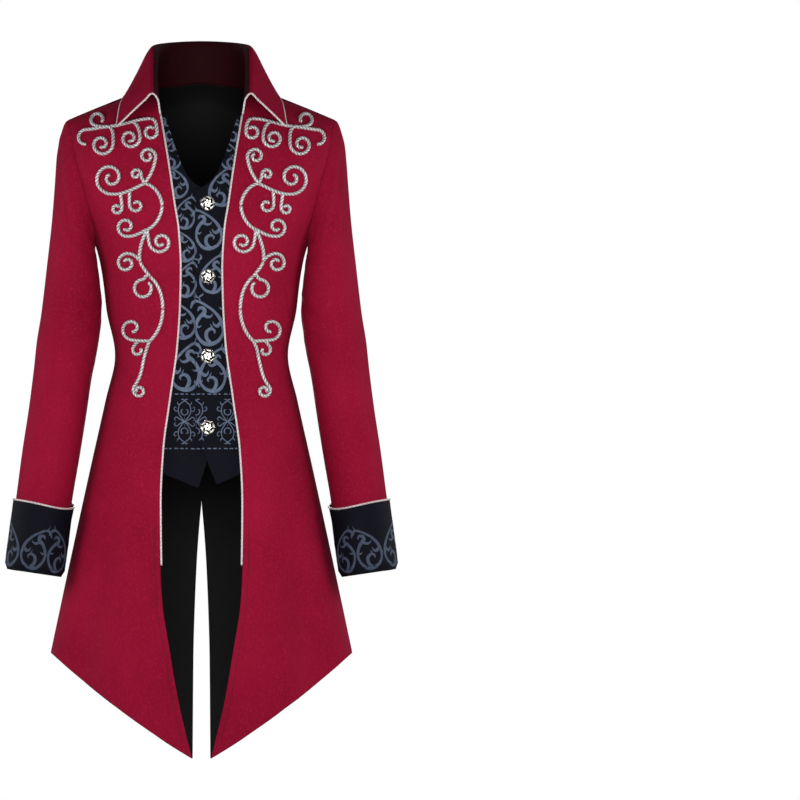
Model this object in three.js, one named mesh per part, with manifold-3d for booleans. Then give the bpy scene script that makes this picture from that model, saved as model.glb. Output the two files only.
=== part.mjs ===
// A red tailcoat with a sewn-in false waistcoat front, in the hollow shape it has when it is worn.
// Millimetres, +Z up. The coat faces -Y. The origin is the middle of the neck, at the height of the
// inner ends of the shoulder seams, where the coat is carried. "drop" is a distance below the origin.
import * as THREE from "three";
import Module from "manifold-3d";
import { mergeVertices } from "three/addons/utils/BufferGeometryUtils.js";

const wasm = await Module();
wasm.setup();

// Driving dimensions
const clothThickness = 2;
const liningThickness = 1;
const waistcoatThickness = 1.5;
const collarThickness = 2.4;
const seamGap = 0.35;
const squareness = 2.3;
const pipingRadius = 1.5;
const scrollWidth = 5.4;
const scrollHeight = 2.8;
const scrollClear = 1.1;
const scrollStep = 8.5;
const buttonRadius = 11;
const buttonHeight = 6.5;

// The shoulder line: a soft ridge that falls away on both sides of the neck
const shoulder = { peak: 46, slope: 0.4, softness: 30, tipX: 198.5, neckX: 74 };
const shoulderRoll = { front: 75, back: 50 };
const neck = { front: 86, back: 70, frontX: 63 };
const armhole = { middleDrop: 129, halfHeight: 93, halfDepth: 54 };
const hem = { sideDrop: 834, tipDrop: 991.5, sideX: 226.5, tipX: 15, bow: 0.2 };
const ventTopDrop = 604.5;
const pipingEndDrop = 703;

// Level sections of the coat: half its width, and how far it reaches forwards and backwards
const coatSections = [
  { drop: -40, halfWidth: 212, front: 92, back: 104 },
  { drop: 36, halfWidth: 212, front: 98, back: 107 },
  { drop: 100, halfWidth: 203, front: 112, back: 113 },
  { drop: 140, halfWidth: 191, front: 117, back: 114 },
  { drop: 180, halfWidth: 176, front: 119, back: 110 },
  { drop: 222, halfWidth: 159.5, front: 117, back: 104 },
  { drop: 250, halfWidth: 152, front: 113, back: 99 },
  { drop: 285, halfWidth: 146.5, front: 108, back: 93 },
  { drop: 320, halfWidth: 142.5, front: 103, back: 88 },
  { drop: 387, halfWidth: 129.8, front: 97, back: 83 },
  { drop: 455, halfWidth: 144, front: 105, back: 92 },
  { drop: 560, halfWidth: 167.5, front: 123, back: 114 },
  { drop: 700, halfWidth: 198, front: 141, back: 133 },
  { drop: 834, halfWidth: 226.5, front: 155, back: 150 },
  { drop: 1010, halfWidth: 264, front: 171, back: 170 },
];

// The cut edge of each front, from the neck to the point of its tail
const frontEdge = [
  { drop: 27, x: 63 },
  { drop: 92, x: 52 },
  { drop: 160, x: 42 },
  { drop: 200, x: 36 },
  { drop: 256, x: 33 },
  { drop: 306, x: 34 },
  { drop: 370, x: 38 },
  { drop: 451, x: 49 },
  { drop: 531, x: 59.5 },
  { drop: 607, x: 63 },
  { drop: 703, x: 62 },
  { drop: 760, x: 59 },
  { drop: 825, x: 49 },
  { drop: 906, x: 35 },
  { drop: 991.5, x: 15 },
];

// The shaping seam of the back, from the armhole to the hem
const backSeam = [
  { drop: 200, x: 161 },
  { drop: 215, x: 145 },
  { drop: 238, x: 128 },
  { drop: 268, x: 119 },
  { drop: 340, x: 113 },
  { drop: 400, x: 113 },
  { drop: 480, x: 121 },
  { drop: 560, x: 129 },
  { drop: 700, x: 138 },
  { drop: 900, x: 149 },
];
const vent = [
  { drop: 604.5, x: 0 },
  { drop: 655, x: 4.5 },
  { drop: 700, x: 7.5 },
  { drop: 770, x: 10.5 },
  { drop: 837, x: 12.3 },
  { drop: 991.5, x: 13.5 },
];

// Soft folds of the skirts: hand is -1 for the wearer's right and 1 for the left
const folds = [
  { side: -1, hand: -1, angle: 29, spread: 9, depth: 8, from: 420 },
  { side: -1, hand: -1, angle: 48, spread: 9, depth: -8, from: 480 },
  { side: -1, hand: -1, angle: 67, spread: 8, depth: 5, from: 560 },
  { side: -1, hand: 1, angle: 27, spread: 8, depth: 7, from: 430 },
  { side: -1, hand: 1, angle: 45, spread: 10, depth: -8, from: 460 },
  { side: -1, hand: 1, angle: 66, spread: 8, depth: 6, from: 600 },
  { side: 1, hand: -1, angle: 13, spread: 6, depth: 6, from: 600 },
  { side: 1, hand: -1, angle: 28, spread: 8, depth: -8, from: 470 },
  { side: 1, hand: -1, angle: 45, spread: 8, depth: 6, from: 520 },
  { side: 1, hand: -1, angle: 64, spread: 8, depth: -6, from: 560 },
  { side: 1, hand: 1, angle: 14, spread: 6, depth: 5, from: 620 },
  { side: 1, hand: 1, angle: 30, spread: 8, depth: -9, from: 450 },
  { side: 1, hand: 1, angle: 47, spread: 9, depth: 6, from: 540 },
  { side: 1, hand: 1, angle: 66, spread: 8, depth: -5, from: 580 },
];

// Rings of a sleeve below the armhole: its outer and inner points in the front view, half its
// depth, and how far the arm swings forwards
const sleeveRings = [
  { outerX: 204, outerDrop: 45, innerX: 159.6, innerDrop: 228, depth: 55, forward: 0 },
  { outerX: 211, outerDrop: 68, innerX: 158.6, innerDrop: 236, depth: 56, forward: 0 },
  { outerX: 216, outerDrop: 100, innerX: 157, innerDrop: 246, depth: 57, forward: 0 },
  { outerX: 220, outerDrop: 142, innerX: 154.8, innerDrop: 259, depth: 57, forward: 0 },
  { outerX: 225, outerDrop: 192, innerX: 152.5, innerDrop: 276, depth: 57, forward: 0 },
  { outerX: 231.5, outerDrop: 250, innerX: 150.8, innerDrop: 300, depth: 56, forward: 0 },
  { outerX: 240, outerDrop: 322, innerX: 151.2, innerDrop: 336, depth: 54, forward: 1 },
  { outerX: 247, outerDrop: 366, innerX: 156.5, innerDrop: 378, depth: 52, forward: 3 },
  { outerX: 252, outerDrop: 412, innerX: 165, innerDrop: 424, depth: 51, forward: 7 },
  { outerX: 259.5, outerDrop: 470, innerX: 173.5, innerDrop: 482, depth: 50, forward: 13 },
  { outerX: 269, outerDrop: 532, innerX: 183.5, innerDrop: 544, depth: 48, forward: 20 },
  { outerX: 278, outerDrop: 600, innerX: 195, innerDrop: 612, depth: 46, forward: 27 },
  { outerX: 291, outerDrop: 694, innerX: 207, innerDrop: 706, depth: 45, forward: 37.5 },
];

// Rings of a turned-back cuff, from its top edge to its fold
const cuffRings = [
  { outerX: 282.5, outerDrop: 605, innerX: 191, innerDrop: 619, depth: 51.5, forward: 28 },
  { outerX: 285, outerDrop: 624, innerX: 195, innerDrop: 637, depth: 50, forward: 30 },
  { outerX: 290, outerDrop: 660, innerX: 199.5, innerDrop: 673, depth: 49, forward: 34 },
  { outerX: 294.8, outerDrop: 698, innerX: 205, innerDrop: 711, depth: 48.5, forward: 38 },
  { outerX: 291.5, outerDrop: 708, innerX: 210.5, innerDrop: 720, depth: 44.5, forward: 39 },
];
const cuffOverlap = { start: 308, turn: 368, lift: 4, liftTurn: 0.12, roundTurn: 0.1, roundDrop: 26 };
const cuffRim = { sagTurn: 120, sag: 3, riseTurn: 215, rise: 7, spread: 40 };

// The waistcoat front: the neckline, the buttoned edges and the hem, for the lapped and lower sides
const waistcoatEdges = {
  lapping: [
    { drop: 24, x: 57 },
    { drop: 40, x: 50.5 },
    { drop: 84, x: 36 },
    { drop: 115, x: 22.5 },
    { drop: 128, x: 11 },
    { drop: 135, x: 0 },
    { drop: 139, x: -9.5 },
    { drop: 200, x: -9.5 },
    { drop: 300, x: -9.5 },
    { drop: 400, x: -9.5 },
    { drop: 490, x: -9.5 },
    { drop: 520, x: -2 },
    { drop: 545, x: 8.5 },
    { drop: 580, x: 23 },
  ],
  lower: [
    { drop: 24, x: 57 },
    { drop: 40, x: 50.5 },
    { drop: 84, x: 36 },
    { drop: 115, x: 22.5 },
    { drop: 128, x: 11 },
    { drop: 135, x: 0 },
    { drop: 140, x: -12 },
    { drop: 200, x: -12 },
    { drop: 300, x: -12 },
    { drop: 400, x: -12 },
    { drop: 490, x: -12 },
    { drop: 520, x: -12 },
    { drop: 548, x: -7 },
    { drop: 585, x: 5 },
  ],
};
const waistcoatSide = { top: 86, bottom: 104, firstRow: 2, lastShare: 0.62 };
const waistcoatStandOff = 4;
const buttonDrops = [159, 270, 388.5, 494.5];
const buttonX = 9.5;

// The collar: its fold and its free edge, from the middle of the back (0) to the front end (1)
const collarLine = [
  { at: 0, foldX: 0, foldY: 70, foldZ: 81.5, edgeX: 0, edgeY: 90, edgeZ: 38, roll: 5 },
  { at: 0.25, foldX: 46, foldY: 53, foldZ: 79.5, edgeX: 60, edgeY: 74, edgeZ: 26, roll: 5 },
  { at: 0.5, foldX: 72, foldY: -4, foldZ: 74, edgeX: 106, edgeY: 8, edgeZ: 10, roll: 6 },
  { at: 0.75, foldX: 74, foldY: -50, foldZ: 40, edgeX: 119, edgeY: -46, edgeZ: -8.5, roll: 7 },
  { at: 1, foldX: 74, foldY: -88, foldZ: 6, edgeX: 126, edgeY: -85, edgeZ: -44, roll: 8 },
];

// Scrolls of applied cord, in the view of the panel they lie on: x outwards from the middle, drop
// down. A stem runs from a point to a point. A curl runs from a point into a spiral about its centre.
const chestScrolls = [
  { from: [86, 130], heading: 180, to: [59, 163], arrive: -90 },
  { from: [59, 163], heading: -90, to: [82, 199], arrive: -20 },
  { from: [82, 199], heading: -70, to: [92, 247], arrive: -100 },
  { from: [92, 247], heading: -110, to: [77, 269], arrive: -125 },
  { from: [77, 269], heading: -140, to: [58, 318], arrive: -90 },
  { from: [58, 318], heading: -90, to: [77, 366], arrive: -45 },
  { from: [86, 130], heading: 130, centre: [81, 89], radius: 12.5, entry: 190, turns: -1.25, end: 4 },
  { from: [86, 131], heading: 95, centre: [98, 116], radius: 8, entry: 185, turns: -1.1, end: 3.2 },
  { from: [86, 130], heading: -25, centre: [136, 121], radius: 24, entry: -80, turns: 1.45, end: 4.5 },
  { from: [107, 141], heading: -85, centre: [97, 162], radius: 10.5, entry: 0, turns: -0.95, end: 4 },
  { from: [121, 144], heading: -90, centre: [127, 167], radius: 8, entry: 185, turns: 0.95, end: 3.6 },
  { from: [81, 198], heading: -30, centre: [112, 194], radius: 14.5, entry: -85, turns: 1.15, end: 4.4 },
  { from: [81, 199], heading: -95, centre: [61, 217], radius: 17, entry: -10, turns: -1.4, end: 4.4 },
  { from: [93, 245], heading: 60, centre: [112, 249], radius: 15, entry: 95, turns: -1.2, end: 4.5 },
  { from: [79, 267], heading: 40, centre: [87, 287], radius: 13.5, entry: 85, turns: -0.88, end: 12 },
  { from: [77, 366], heading: 5, centre: [103, 347], radius: 17, entry: -80, turns: 1, end: 4.6 },
  { from: [94, 366.5], heading: -20, centre: [95, 380], radius: 9, entry: 40, turns: -0.75, end: 4 },
  { from: [77, 366], heading: -60, centre: [93, 441], radius: 10, entry: 40, turns: -1.2, end: 4 },
];
const shoulderScrolls = [
  { from: [75, 33], heading: 0, to: [137, 45], arrive: -5 },
  { from: [137, 45], heading: -5, centre: [154, 35], radius: 11, entry: 0, turns: 0.62, end: 6 },
  { from: [137, 45], heading: -5, centre: [173, 62], radius: 12, entry: 85, turns: -0.5, end: 9 },
  { from: [139, 44.5], heading: 210, centre: [149, 71], radius: 17, entry: 180, turns: 1.35, end: 4.4 },
  { from: [106, 37], heading: 190, centre: [107, 62], radius: 15, entry: 180, turns: 1.35, end: 4.2 },
  { from: [75, 33], heading: 195, centre: [76, 53], radius: 9.5, entry: 175, turns: 0.9, end: 7 },
];
const backScrolls = [
  { from: [0, 416], heading: 90, to: [0, 376], arrive: 90 },
  { from: [0, 376], heading: 75, centre: [63, 362], radius: 13, entry: 92, turns: -1.3, end: 4.4 },
  { from: [47, 349], heading: 50, centre: [34, 325], radius: 15.5, entry: 0, turns: 0.85, end: 8.5 },
  { from: [0, 416], heading: -70, centre: [29, 412], radius: 29, entry: -85, turns: 1.65, end: 7 },
  { from: [45, 437], heading: 25, centre: [98, 381], radius: 11.5, entry: 130, turns: -1.35, end: 4.2 },
  { from: [50, 433], heading: 50, centre: [96, 433], radius: 17.5, entry: 100, turns: -1.5, end: 4.6 },
];

// Numbers of rows and columns in each wall
const rows = { armhole: 9, neck: 5, seam: 14, backArmhole: 7, aboveVent: 7, waistcoat: 14 };
const columns = { front: 7, backNeck: 5, backShoulder: 3, side: 4, waistcoat: 5 };

const degrees = Math.PI / 180;
const FRONT = -1;
const BACK = 1;
const lerp = (a, b, t) => a + (b - a) * t;
const clamp = (value, low, high) => Math.min(Math.max(value, low), high);
const smooth = (value, low, high) => {
  const t = clamp((value - low) / (high - low), 0, 1);
  return t * t * (3 - 2 * t);
};
const steps = (count) => Array.from({ length: count + 1 }, (_, i) => i / count);

// Reads a column of a table at any key, by a cubic through its rows that never overshoots them.
function reader(table, key, column) {
  const x = table.map((row) => row[key]);
  const y = table.map((row) => row[column]);
  const secant = x.slice(1).map((next, i) => (y[i + 1] - y[i]) / (next - x[i]));
  const slope = x.map((_, i) => {
    if (i === 0) return secant[0];
    if (i === x.length - 1) return secant[i - 1];
    const [before, after] = [secant[i - 1], secant[i]];
    return before * after <= 0 ? 0 : (2 * before * after) / (before + after);
  });
  return (at) => {
    const inside = clamp(at, x[0], x[x.length - 1]);
    let i = 0;
    while (i < x.length - 2 && inside > x[i + 1]) i += 1;
    const width = x[i + 1] - x[i];
    const t = (inside - x[i]) / width;
    const start = y[i] * (1 + 2 * t) + slope[i] * width * t;
    const end = y[i + 1] * (3 - 2 * t) - slope[i + 1] * width * (1 - t);
    return start * (1 - t) ** 2 + end * t * t;
  };
}

const halfWidthAt = reader(coatSections, "drop", "halfWidth");
const frontAt = reader(coatSections, "drop", "front");
const backAt = reader(coatSections, "drop", "back");
const frontEdgeX = reader(frontEdge, "drop", "x");
const backSeamX = reader(backSeam, "drop", "x");
const ventX = reader(vent, "drop", "x");
const depthAt = (drop, side) => (side === FRONT ? frontAt(drop) : backAt(drop));
const shoulderHeight = (x) =>
  shoulder.peak - shoulder.slope * Math.hypot(x, shoulder.softness);

// How far the cloth has rolled over the shoulder line, from 0 on the line to 1 below the roll.
function rollOver(x, z, side) {
  const reach = side === FRONT ? shoulderRoll.front : shoulderRoll.back;
  const t = clamp((shoulderHeight(x) - z) / reach, 0, 1);
  return Math.sqrt(1 - (1 - t) ** 2);
}

function foldDepth(angle, drop, side, hand) {
  const turned = angle / degrees;
  return folds
    .filter((fold) => fold.side === side && fold.hand === hand)
    .reduce((sum, fold) => {
      const across = Math.exp(-(((turned - fold.angle) / fold.spread) ** 2));
      return sum + fold.depth * across * smooth(drop, fold.from, hem.sideDrop + 60);
    }, 0);
}

// A point of the coat's outside. A place is an angle, from the middle (0) round to the side, and a
// drop. Each level section is a squared ellipse, rolled over the shoulder line and moved by the folds.
function coatPoint(place, side, hand) {
  const width = halfWidthAt(place.drop);
  const depth = depthAt(place.drop, side);
  const x = width * Math.sin(place.angle) ** (2 / squareness);
  const level = Math.max(Math.cos(place.angle), 0) ** (2 / squareness);
  const y = side * depth * level * rollOver(x, -place.drop, side);
  const outwards = new THREE.Vector2(Math.sin(place.angle) / width, (side * level) / depth).normalize();
  const fold = foldDepth(place.angle, place.drop, side, hand);
  return new THREE.Vector3(hand * (x + outwards.x * fold), y + outwards.y * fold, -place.drop);
}

function coatNormal(place, side, hand) {
  const turn = 0.004;
  const fall = 0.4;
  const near = { angle: Math.max(place.angle - turn, 0), drop: place.drop };
  const far = { angle: Math.min(place.angle + turn, Math.PI / 2), drop: place.drop };
  const below = { angle: place.angle, drop: place.drop + fall };
  const across = coatPoint(far, side, hand).sub(coatPoint(near, side, hand));
  const down = coatPoint(below, side, hand).sub(coatPoint(place, side, hand));
  const normal = new THREE.Vector3().crossVectors(across, down).multiplyScalar(side * hand);
  // On the shoulder line itself it points straight up, for the panels on both sides of the seam.
  const x = Math.abs(coatPoint(place, side, hand).x);
  normal.normalize().y *= smooth(rollOver(x, -place.drop, side), 0, 0.25);
  return normal.normalize();
}

const angleOf = (x, drop) =>
  Math.asin(clamp(Math.abs(x) / halfWidthAt(drop), 0, 1) ** (squareness / 2));
const placeOf = (x, drop) => ({ angle: angleOf(x, drop), drop });

// A point laid on the coat from its front or back view, moved out by lift, and the direction out.
function laidOn(x, drop, side, lift) {
  const hand = x < 0 ? -1 : 1;
  const place = placeOf(x, drop);
  const normal = coatNormal(place, side, hand);
  return { point: coatPoint(place, side, hand).addScaledVector(normal, lift), normal };
}

// The place on the shoulder slope that lies above a plan point, found by repeated substitution.
function slopePlace(x, y, side) {
  const reach = side === FRONT ? shoulderRoll.front : shoulderRoll.back;
  let drop = -shoulderHeight(x);
  for (let i = 0; i < 12; i += 1) {
    const share = clamp(x / halfWidthAt(drop), 0, 1) ** squareness;
    const full = depthAt(drop, side) * (1 - share) ** (1 / squareness);
    drop = -shoulderHeight(x) + reach * (1 - Math.sqrt(1 - (y / full) ** 2));
  }
  return placeOf(x, drop);
}

const seamPlace = (x) => placeOf(x, -shoulderHeight(x));
const frontNeckPlace = (t) =>
  slopePlace(lerp(shoulder.neckX, neck.frontX, t * t), neck.front * t, FRONT);
const backNeckPlace = (t) =>
  slopePlace(shoulder.neckX * Math.sin(t * 90 * degrees), neck.back * Math.cos(t * 90 * degrees), BACK);

// A place on the armhole, from the shoulder tip (0) to the underarm (180), found by halving.
function armholePlace(turned, side) {
  const drop = armhole.middleDrop - armhole.halfHeight * Math.cos(turned * degrees);
  const wanted = armhole.halfDepth * Math.sin(turned * degrees);
  let low = 0;
  let high = Math.PI / 2;
  for (let i = 0; i < 40; i += 1) {
    const middle = (low + high) / 2;
    if (Math.abs(coatPoint({ angle: middle, drop }, side, 1).y) > wanted + 1e-6) low = middle;
    else high = middle;
  }
  return { angle: high, drop };
}

// A place on the hem, which drops in a slight bow from the side to the tip of the tail.
function hemPlace(angle) {
  let drop = hem.sideDrop;
  for (let i = 0; i < 25; i += 1) {
    const x = halfWidthAt(drop) * Math.sin(angle) ** (2 / squareness);
    const t = clamp((hem.sideX - x) / (hem.sideX - hem.tipX), 0, 1);
    drop = lerp(hem.sideDrop, hem.tipDrop, (1 + hem.bow) * t - hem.bow * t * t);
  }
  return { angle, drop };
}

// Fills four bordering lists of places with a grid, by blending opposite sides.
function fillPlaces(inner, outer, top, bottom) {
  const lastRow = inner.length - 1;
  const lastColumn = top.length - 1;
  return inner.map((_, r) =>
    top.map((__, c) => {
      const [t, s] = [r / lastRow, c / lastColumn];
      const blend = (key) =>
        lerp(inner[r][key], outer[r][key], s) +
        lerp(top[c][key], bottom[c][key], t) -
        lerp(
          lerp(top[0][key], top[lastColumn][key], s),
          lerp(bottom[0][key], bottom[lastColumn][key], s),
          t,
        );
      return { angle: blend("angle"), drop: blend("drop") };
    }),
  );
}

// Moves the border of a grid of points inwards, so that two panels part at their seam.
function partSeams(points, distance) {
  const last = points.length - 1;
  const end = points[0].length - 1;
  const moved = points.map((row) => row.map((point) => point.clone()));
  const pull = (at, inner, before, after) => {
    const along = after.clone().sub(before).normalize();
    const inwards = inner.clone().sub(at);
    inwards.addScaledVector(along, -inwards.dot(along));
    return inwards.setLength(distance);
  };
  points.forEach((row, r) => {
    const [above, below] = [points[Math.max(r - 1, 0)], points[Math.min(r + 1, last)]];
    moved[r][0].add(pull(row[0], row[1], above[0], below[0]));
    moved[r][end].add(pull(row[end], row[end - 1], above[end], below[end]));
  });
  points[0].forEach((_, c) => {
    const [before, after] = [Math.max(c - 1, 0), Math.min(c + 1, end)];
    moved[0][c].add(pull(points[0][c], points[1][c], points[0][before], points[0][after]));
    const foot = points[last];
    moved[last][c].add(pull(foot[c], points[last - 1][c], foot[before], foot[after]));
  });
  return moved;
}

const gridCells = (rowCount, columnCount, id, flipped) => {
  const cells = [];
  for (let r = 0; r < rowCount; r += 1) {
    for (let c = 0; c < columnCount; c += 1) {
      const cell = [id(r, c), id(r, c + 1), id(r + 1, c + 1), id(r + 1, c)];
      cells.push(flipped ? cell.reverse() : cell);
    }
  }
  return cells;
};

function meshGeometry(vertices, triangles) {
  const geometry = new THREE.BufferGeometry();
  geometry.setAttribute(
    "position",
    new THREE.Float32BufferAttribute(vertices.flatMap((v) => [v.x, v.y, v.z]), 3),
  );
  geometry.setIndex(triangles);
  return geometry.toNonIndexed();
}

// A closed wall of cloth: cells of outer vertices, the same cells moved in, and a rim between them.
function clothWall(vertices, normals, cells, thickness) {
  const inner = vertices.map((v, i) => v.clone().addScaledVector(normals[i], -thickness));
  const count = vertices.length;
  const triangles = [];
  const edges = new Map();
  cells.forEach((cell) => {
    // Each cell is split along its shorter diagonal, so that both halves of the coat match.
    const shorter = vertices[cell[0]].distanceTo(vertices[cell[2]]);
    const turned = vertices[cell[1]].distanceTo(vertices[cell[3]]) < shorter - 1e-4;
    const [a, b, c, d] = turned ? [...cell.slice(1), cell[0]] : cell;
    triangles.push(a, b, c, a, c, d);
    triangles.push(count + a, count + c, count + b, count + a, count + d, count + c);
    cell.forEach((from, i) => edges.set(`${from},${cell[(i + 1) % 4]}`, [from, cell[(i + 1) % 4]]));
  });
  edges.forEach(([from, to]) => {
    if (edges.has(`${to},${from}`)) return;
    // The rim's faces are split the same way on both sides of a seam, so that they lie together.
    if (vertices[from].z > vertices[to].z) {
      triangles.push(to, from, count + from, to, count + from, count + to);
    } else {
      triangles.push(to, from, count + to, from, count + from, count + to);
    }
  });
  return meshGeometry([...vertices, ...inner], triangles);
}

// The outward direction at each vertex, from the cells round it.
function cellNormals(vertices, cells) {
  const normals = vertices.map(() => new THREE.Vector3());
  cells.forEach(([a, b, c, d]) => {
    const first = vertices[c].clone().sub(vertices[a]);
    const second = vertices[d].clone().sub(vertices[b]);
    const normal = first.cross(second);
    [a, b, c, d].forEach((i) => normals[i].add(normal));
  });
  return normals.map((normal) => normal.normalize());
}

// Carries a closed profile along a path. Each profile point is [to the right, up].
function sweep(path, ups, profile) {
  const vertices = [];
  path.forEach((point, i) => {
    const ahead = path[Math.min(i + 1, path.length - 1)];
    const behind = path[Math.max(i - 1, 0)];
    const tangent = ahead.clone().sub(behind).normalize();
    const right = new THREE.Vector3().crossVectors(tangent, ups[i]).normalize();
    const up = new THREE.Vector3().crossVectors(right, tangent);
    profile.forEach(([across, out]) =>
      vertices.push(point.clone().addScaledVector(right, across).addScaledVector(up, out)),
    );
  });
  const sides = profile.length;
  const triangles = [];
  for (let i = 0; i < path.length - 1; i += 1) {
    for (let j = 0; j < sides; j += 1) {
      const k = (j + 1) % sides;
      const [a, b] = [i * sides + j, i * sides + k];
      triangles.push(a, b + sides, b, a, a + sides, b + sides);
    }
  }
  const last = (path.length - 1) * sides;
  for (let j = 1; j < sides - 1; j += 1) {
    triangles.push(0, j, j + 1, last, last + j + 1, last + j);
  }
  return meshGeometry(vertices, triangles);
}

const roundProfile = (radius, sides) =>
  steps(sides)
    .slice(0, sides)
    .map((t) => [radius * Math.cos(t * 360 * degrees), radius * Math.sin(t * 360 * degrees)]);

const cloth = { roughness: 0.75, metalness: 0 };
const red = new THREE.MeshStandardMaterial({ color: "#8e1733", ...cloth });
const brocade = new THREE.MeshStandardMaterial({ color: "#12131c", ...cloth });
const black = new THREE.MeshStandardMaterial({ color: "#141213", roughness: 0.5, metalness: 0 });
const silverCord = new THREE.MeshStandardMaterial({ color: "#c9c3c4", roughness: 0.6, metalness: 0 });
const silver = new THREE.MeshStandardMaterial({ color: "#d8d4c8", roughness: 0.3, metalness: 1 });

const coat = new THREE.Group();
const handName = (hand) => (hand < 0 ? "right" : "left");

function addPiece(name, geometry, material) {
  const mesh = new THREE.Mesh(geometry, material);
  mesh.name = name;
  coat.add(mesh);
  return mesh;
}

// A four-sided panel of the coat from its grid of places.
function coatPanel(places, side, hand, thickness) {
  const points = places.map((row) => row.map((place) => coatPoint(place, side, hand)));
  const parted = partSeams(points, seamGap / 2);
  const normals = places.map((row) => row.map((place) => coatNormal(place, side, hand)));
  const width = places[0].length;
  const cells = gridCells(places.length - 1, width - 1, (r, c) => r * width + c, side * hand < 0);
  return clothWall(parted.flat(), normals.flat(), cells, thickness);
}

const seamRows = steps(rows.seam);
const sideSeamPlaces = seamRows.map((t) => ({
  angle: 90 * degrees,
  drop: lerp(armhole.middleDrop + armhole.halfHeight, hem.sideDrop, t),
}));
const frontEdgePlace = (drop) => placeOf(frontEdgeX(drop), drop);

function frontPlaces() {
  const [neckRows, armRows] = [rows.neck, rows.armhole];
  const neckEnd = frontNeckPlace(1).drop;
  const chestDrop = armhole.middleDrop + armhole.halfHeight;
  const inner = [
    ...steps(neckRows).map(frontNeckPlace),
    ...steps(armRows - neckRows).slice(1).map((t) => frontEdgePlace(lerp(neckEnd, chestDrop, t))),
    ...seamRows.slice(1).map((t) => frontEdgePlace(lerp(chestDrop, hem.tipDrop, t))),
  ];
  const outer = [
    ...steps(armRows).map((t) => armholePlace(180 * t, FRONT)),
    ...sideSeamPlaces.slice(1),
  ];
  const top = steps(columns.front).map((t) => seamPlace(lerp(shoulder.neckX, shoulder.tipX, t)));
  const tip = inner[inner.length - 1];
  const bottom = steps(columns.front).map((t) => hemPlace(lerp(tip.angle, 90 * degrees, t)));
  inner[inner.length - 1] = bottom[0];
  return fillPlaces(inner, outer, top, bottom);
}

const backSeamEnd = hemPlace(angleOf(backSeam[backSeam.length - 1].x, 898));
const backArmholeEnd = 20 * rows.backArmhole;
const backSeamPlaces = [
  armholePlace(backArmholeEnd, BACK),
  ...seamRows.slice(1, -1).map((t) => {
    const drop = lerp(backSeam[0].drop, backSeamEnd.drop, t);
    return placeOf(backSeamX(drop), drop);
  }),
  backSeamEnd,
];

function backPlaces() {
  const neckDrop = backNeckPlace(0).drop;
  const seamTop = armhole.middleDrop + armhole.halfHeight;
  const inner = [
    ...steps(rows.backArmhole).map((t) => placeOf(0, lerp(neckDrop, seamTop, t))),
    ...steps(rows.aboveVent).slice(1).map((t) => placeOf(0, lerp(seamTop, ventTopDrop, t))),
    ...steps(rows.seam - rows.aboveVent).slice(1).map((t) => {
      const drop = lerp(ventTopDrop, hem.tipDrop, t);
      return placeOf(ventX(drop), drop);
    }),
  ];
  const outer = [
    ...steps(rows.backArmhole).map((t) => armholePlace(backArmholeEnd * t, BACK)),
    ...backSeamPlaces.slice(1),
  ];
  const top = [
    ...steps(columns.backNeck).map(backNeckPlace),
    ...steps(columns.backShoulder).slice(1).map((t) =>
      seamPlace(lerp(shoulder.neckX, shoulder.tipX, t)),
    ),
  ];
  const tip = inner[inner.length - 1];
  const bottom = top.map((_, c) => hemPlace(lerp(tip.angle, backSeamEnd.angle, c / (top.length - 1))));
  inner[inner.length - 1] = bottom[0];
  return fillPlaces(inner, outer, top, bottom);
}

// The middle back is one panel: its two halves share their middle column down to the vent.
function backWall(places, depth, thickness) {
  const width = places[0].length;
  const ventRow = rows.backArmhole + rows.aboveVent;
  const vertices = [];
  const normals = [];
  const cells = [];
  const shared = new Map();
  [-1, 1].forEach((hand) => {
    const points = places.map((row) => row.map((place) => coatPoint(place, BACK, hand)));
    const parted = partSeams(points, seamGap / 2);
    const ids = places.map((row, r) =>
      row.map((place, c) => {
        const joined = c === 0 && r <= ventRow;
        if (joined && shared.has(r)) return shared.get(r);
        const normal = coatNormal(place, BACK, hand);
        if (joined) {
          parted[r][c].x = 0;
          normal.setX(0).normalize();
          shared.set(r, vertices.length);
        }
        vertices.push(parted[r][c].addScaledVector(normal, -depth));
        normals.push(normal);
        return vertices.length - 1;
      }),
    );
    cells.push(...gridCells(places.length - 1, width - 1, (r, c) => ids[r][c], hand < 0));
  });
  return clothWall(vertices, normals, cells, thickness);
}

function backSidePlaces() {
  const top = steps(columns.side).map((t) => armholePlace(lerp(backArmholeEnd, 180, t), BACK));
  const bottom = steps(columns.side).map((t) =>
    hemPlace(lerp(backSeamEnd.angle, 90 * degrees, t)),
  );
  return fillPlaces(backSeamPlaces, sideSeamPlaces, top, bottom);
}

// A sleeve is a tube whose first ring is the armhole. The turns run from the outer point (0),
// over the front (90), the inner point (180) and the back (270).
const sleeveTurns = [
  ...steps(rows.armhole).map((t) => 180 * t),
  ...steps(columns.side).map((t) => lerp(180, 360 - backArmholeEnd, t)).slice(1),
  ...steps(rows.backArmhole).map((t) => lerp(360 - backArmholeEnd, 360, t)).slice(1, -1),
];

function armholeAt(turned, hand) {
  const side = turned <= 180 ? FRONT : BACK;
  const place = armholePlace(turned <= 180 ? turned : 360 - turned, side);
  return { point: coatPoint(place, side, hand), normal: coatNormal(place, side, hand) };
}

function ringPoint(ring, turned, hand) {
  const [c, s] = [Math.cos(turned * degrees), Math.sin(turned * degrees)];
  const x = (ring.outerX + ring.innerX) / 2 + (c * (ring.outerX - ring.innerX)) / 2;
  const drop = (ring.outerDrop + ring.innerDrop) / 2 + (c * (ring.outerDrop - ring.innerDrop)) / 2;
  return new THREE.Vector3(hand * x, -ring.forward - s * ring.depth, -drop);
}

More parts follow.
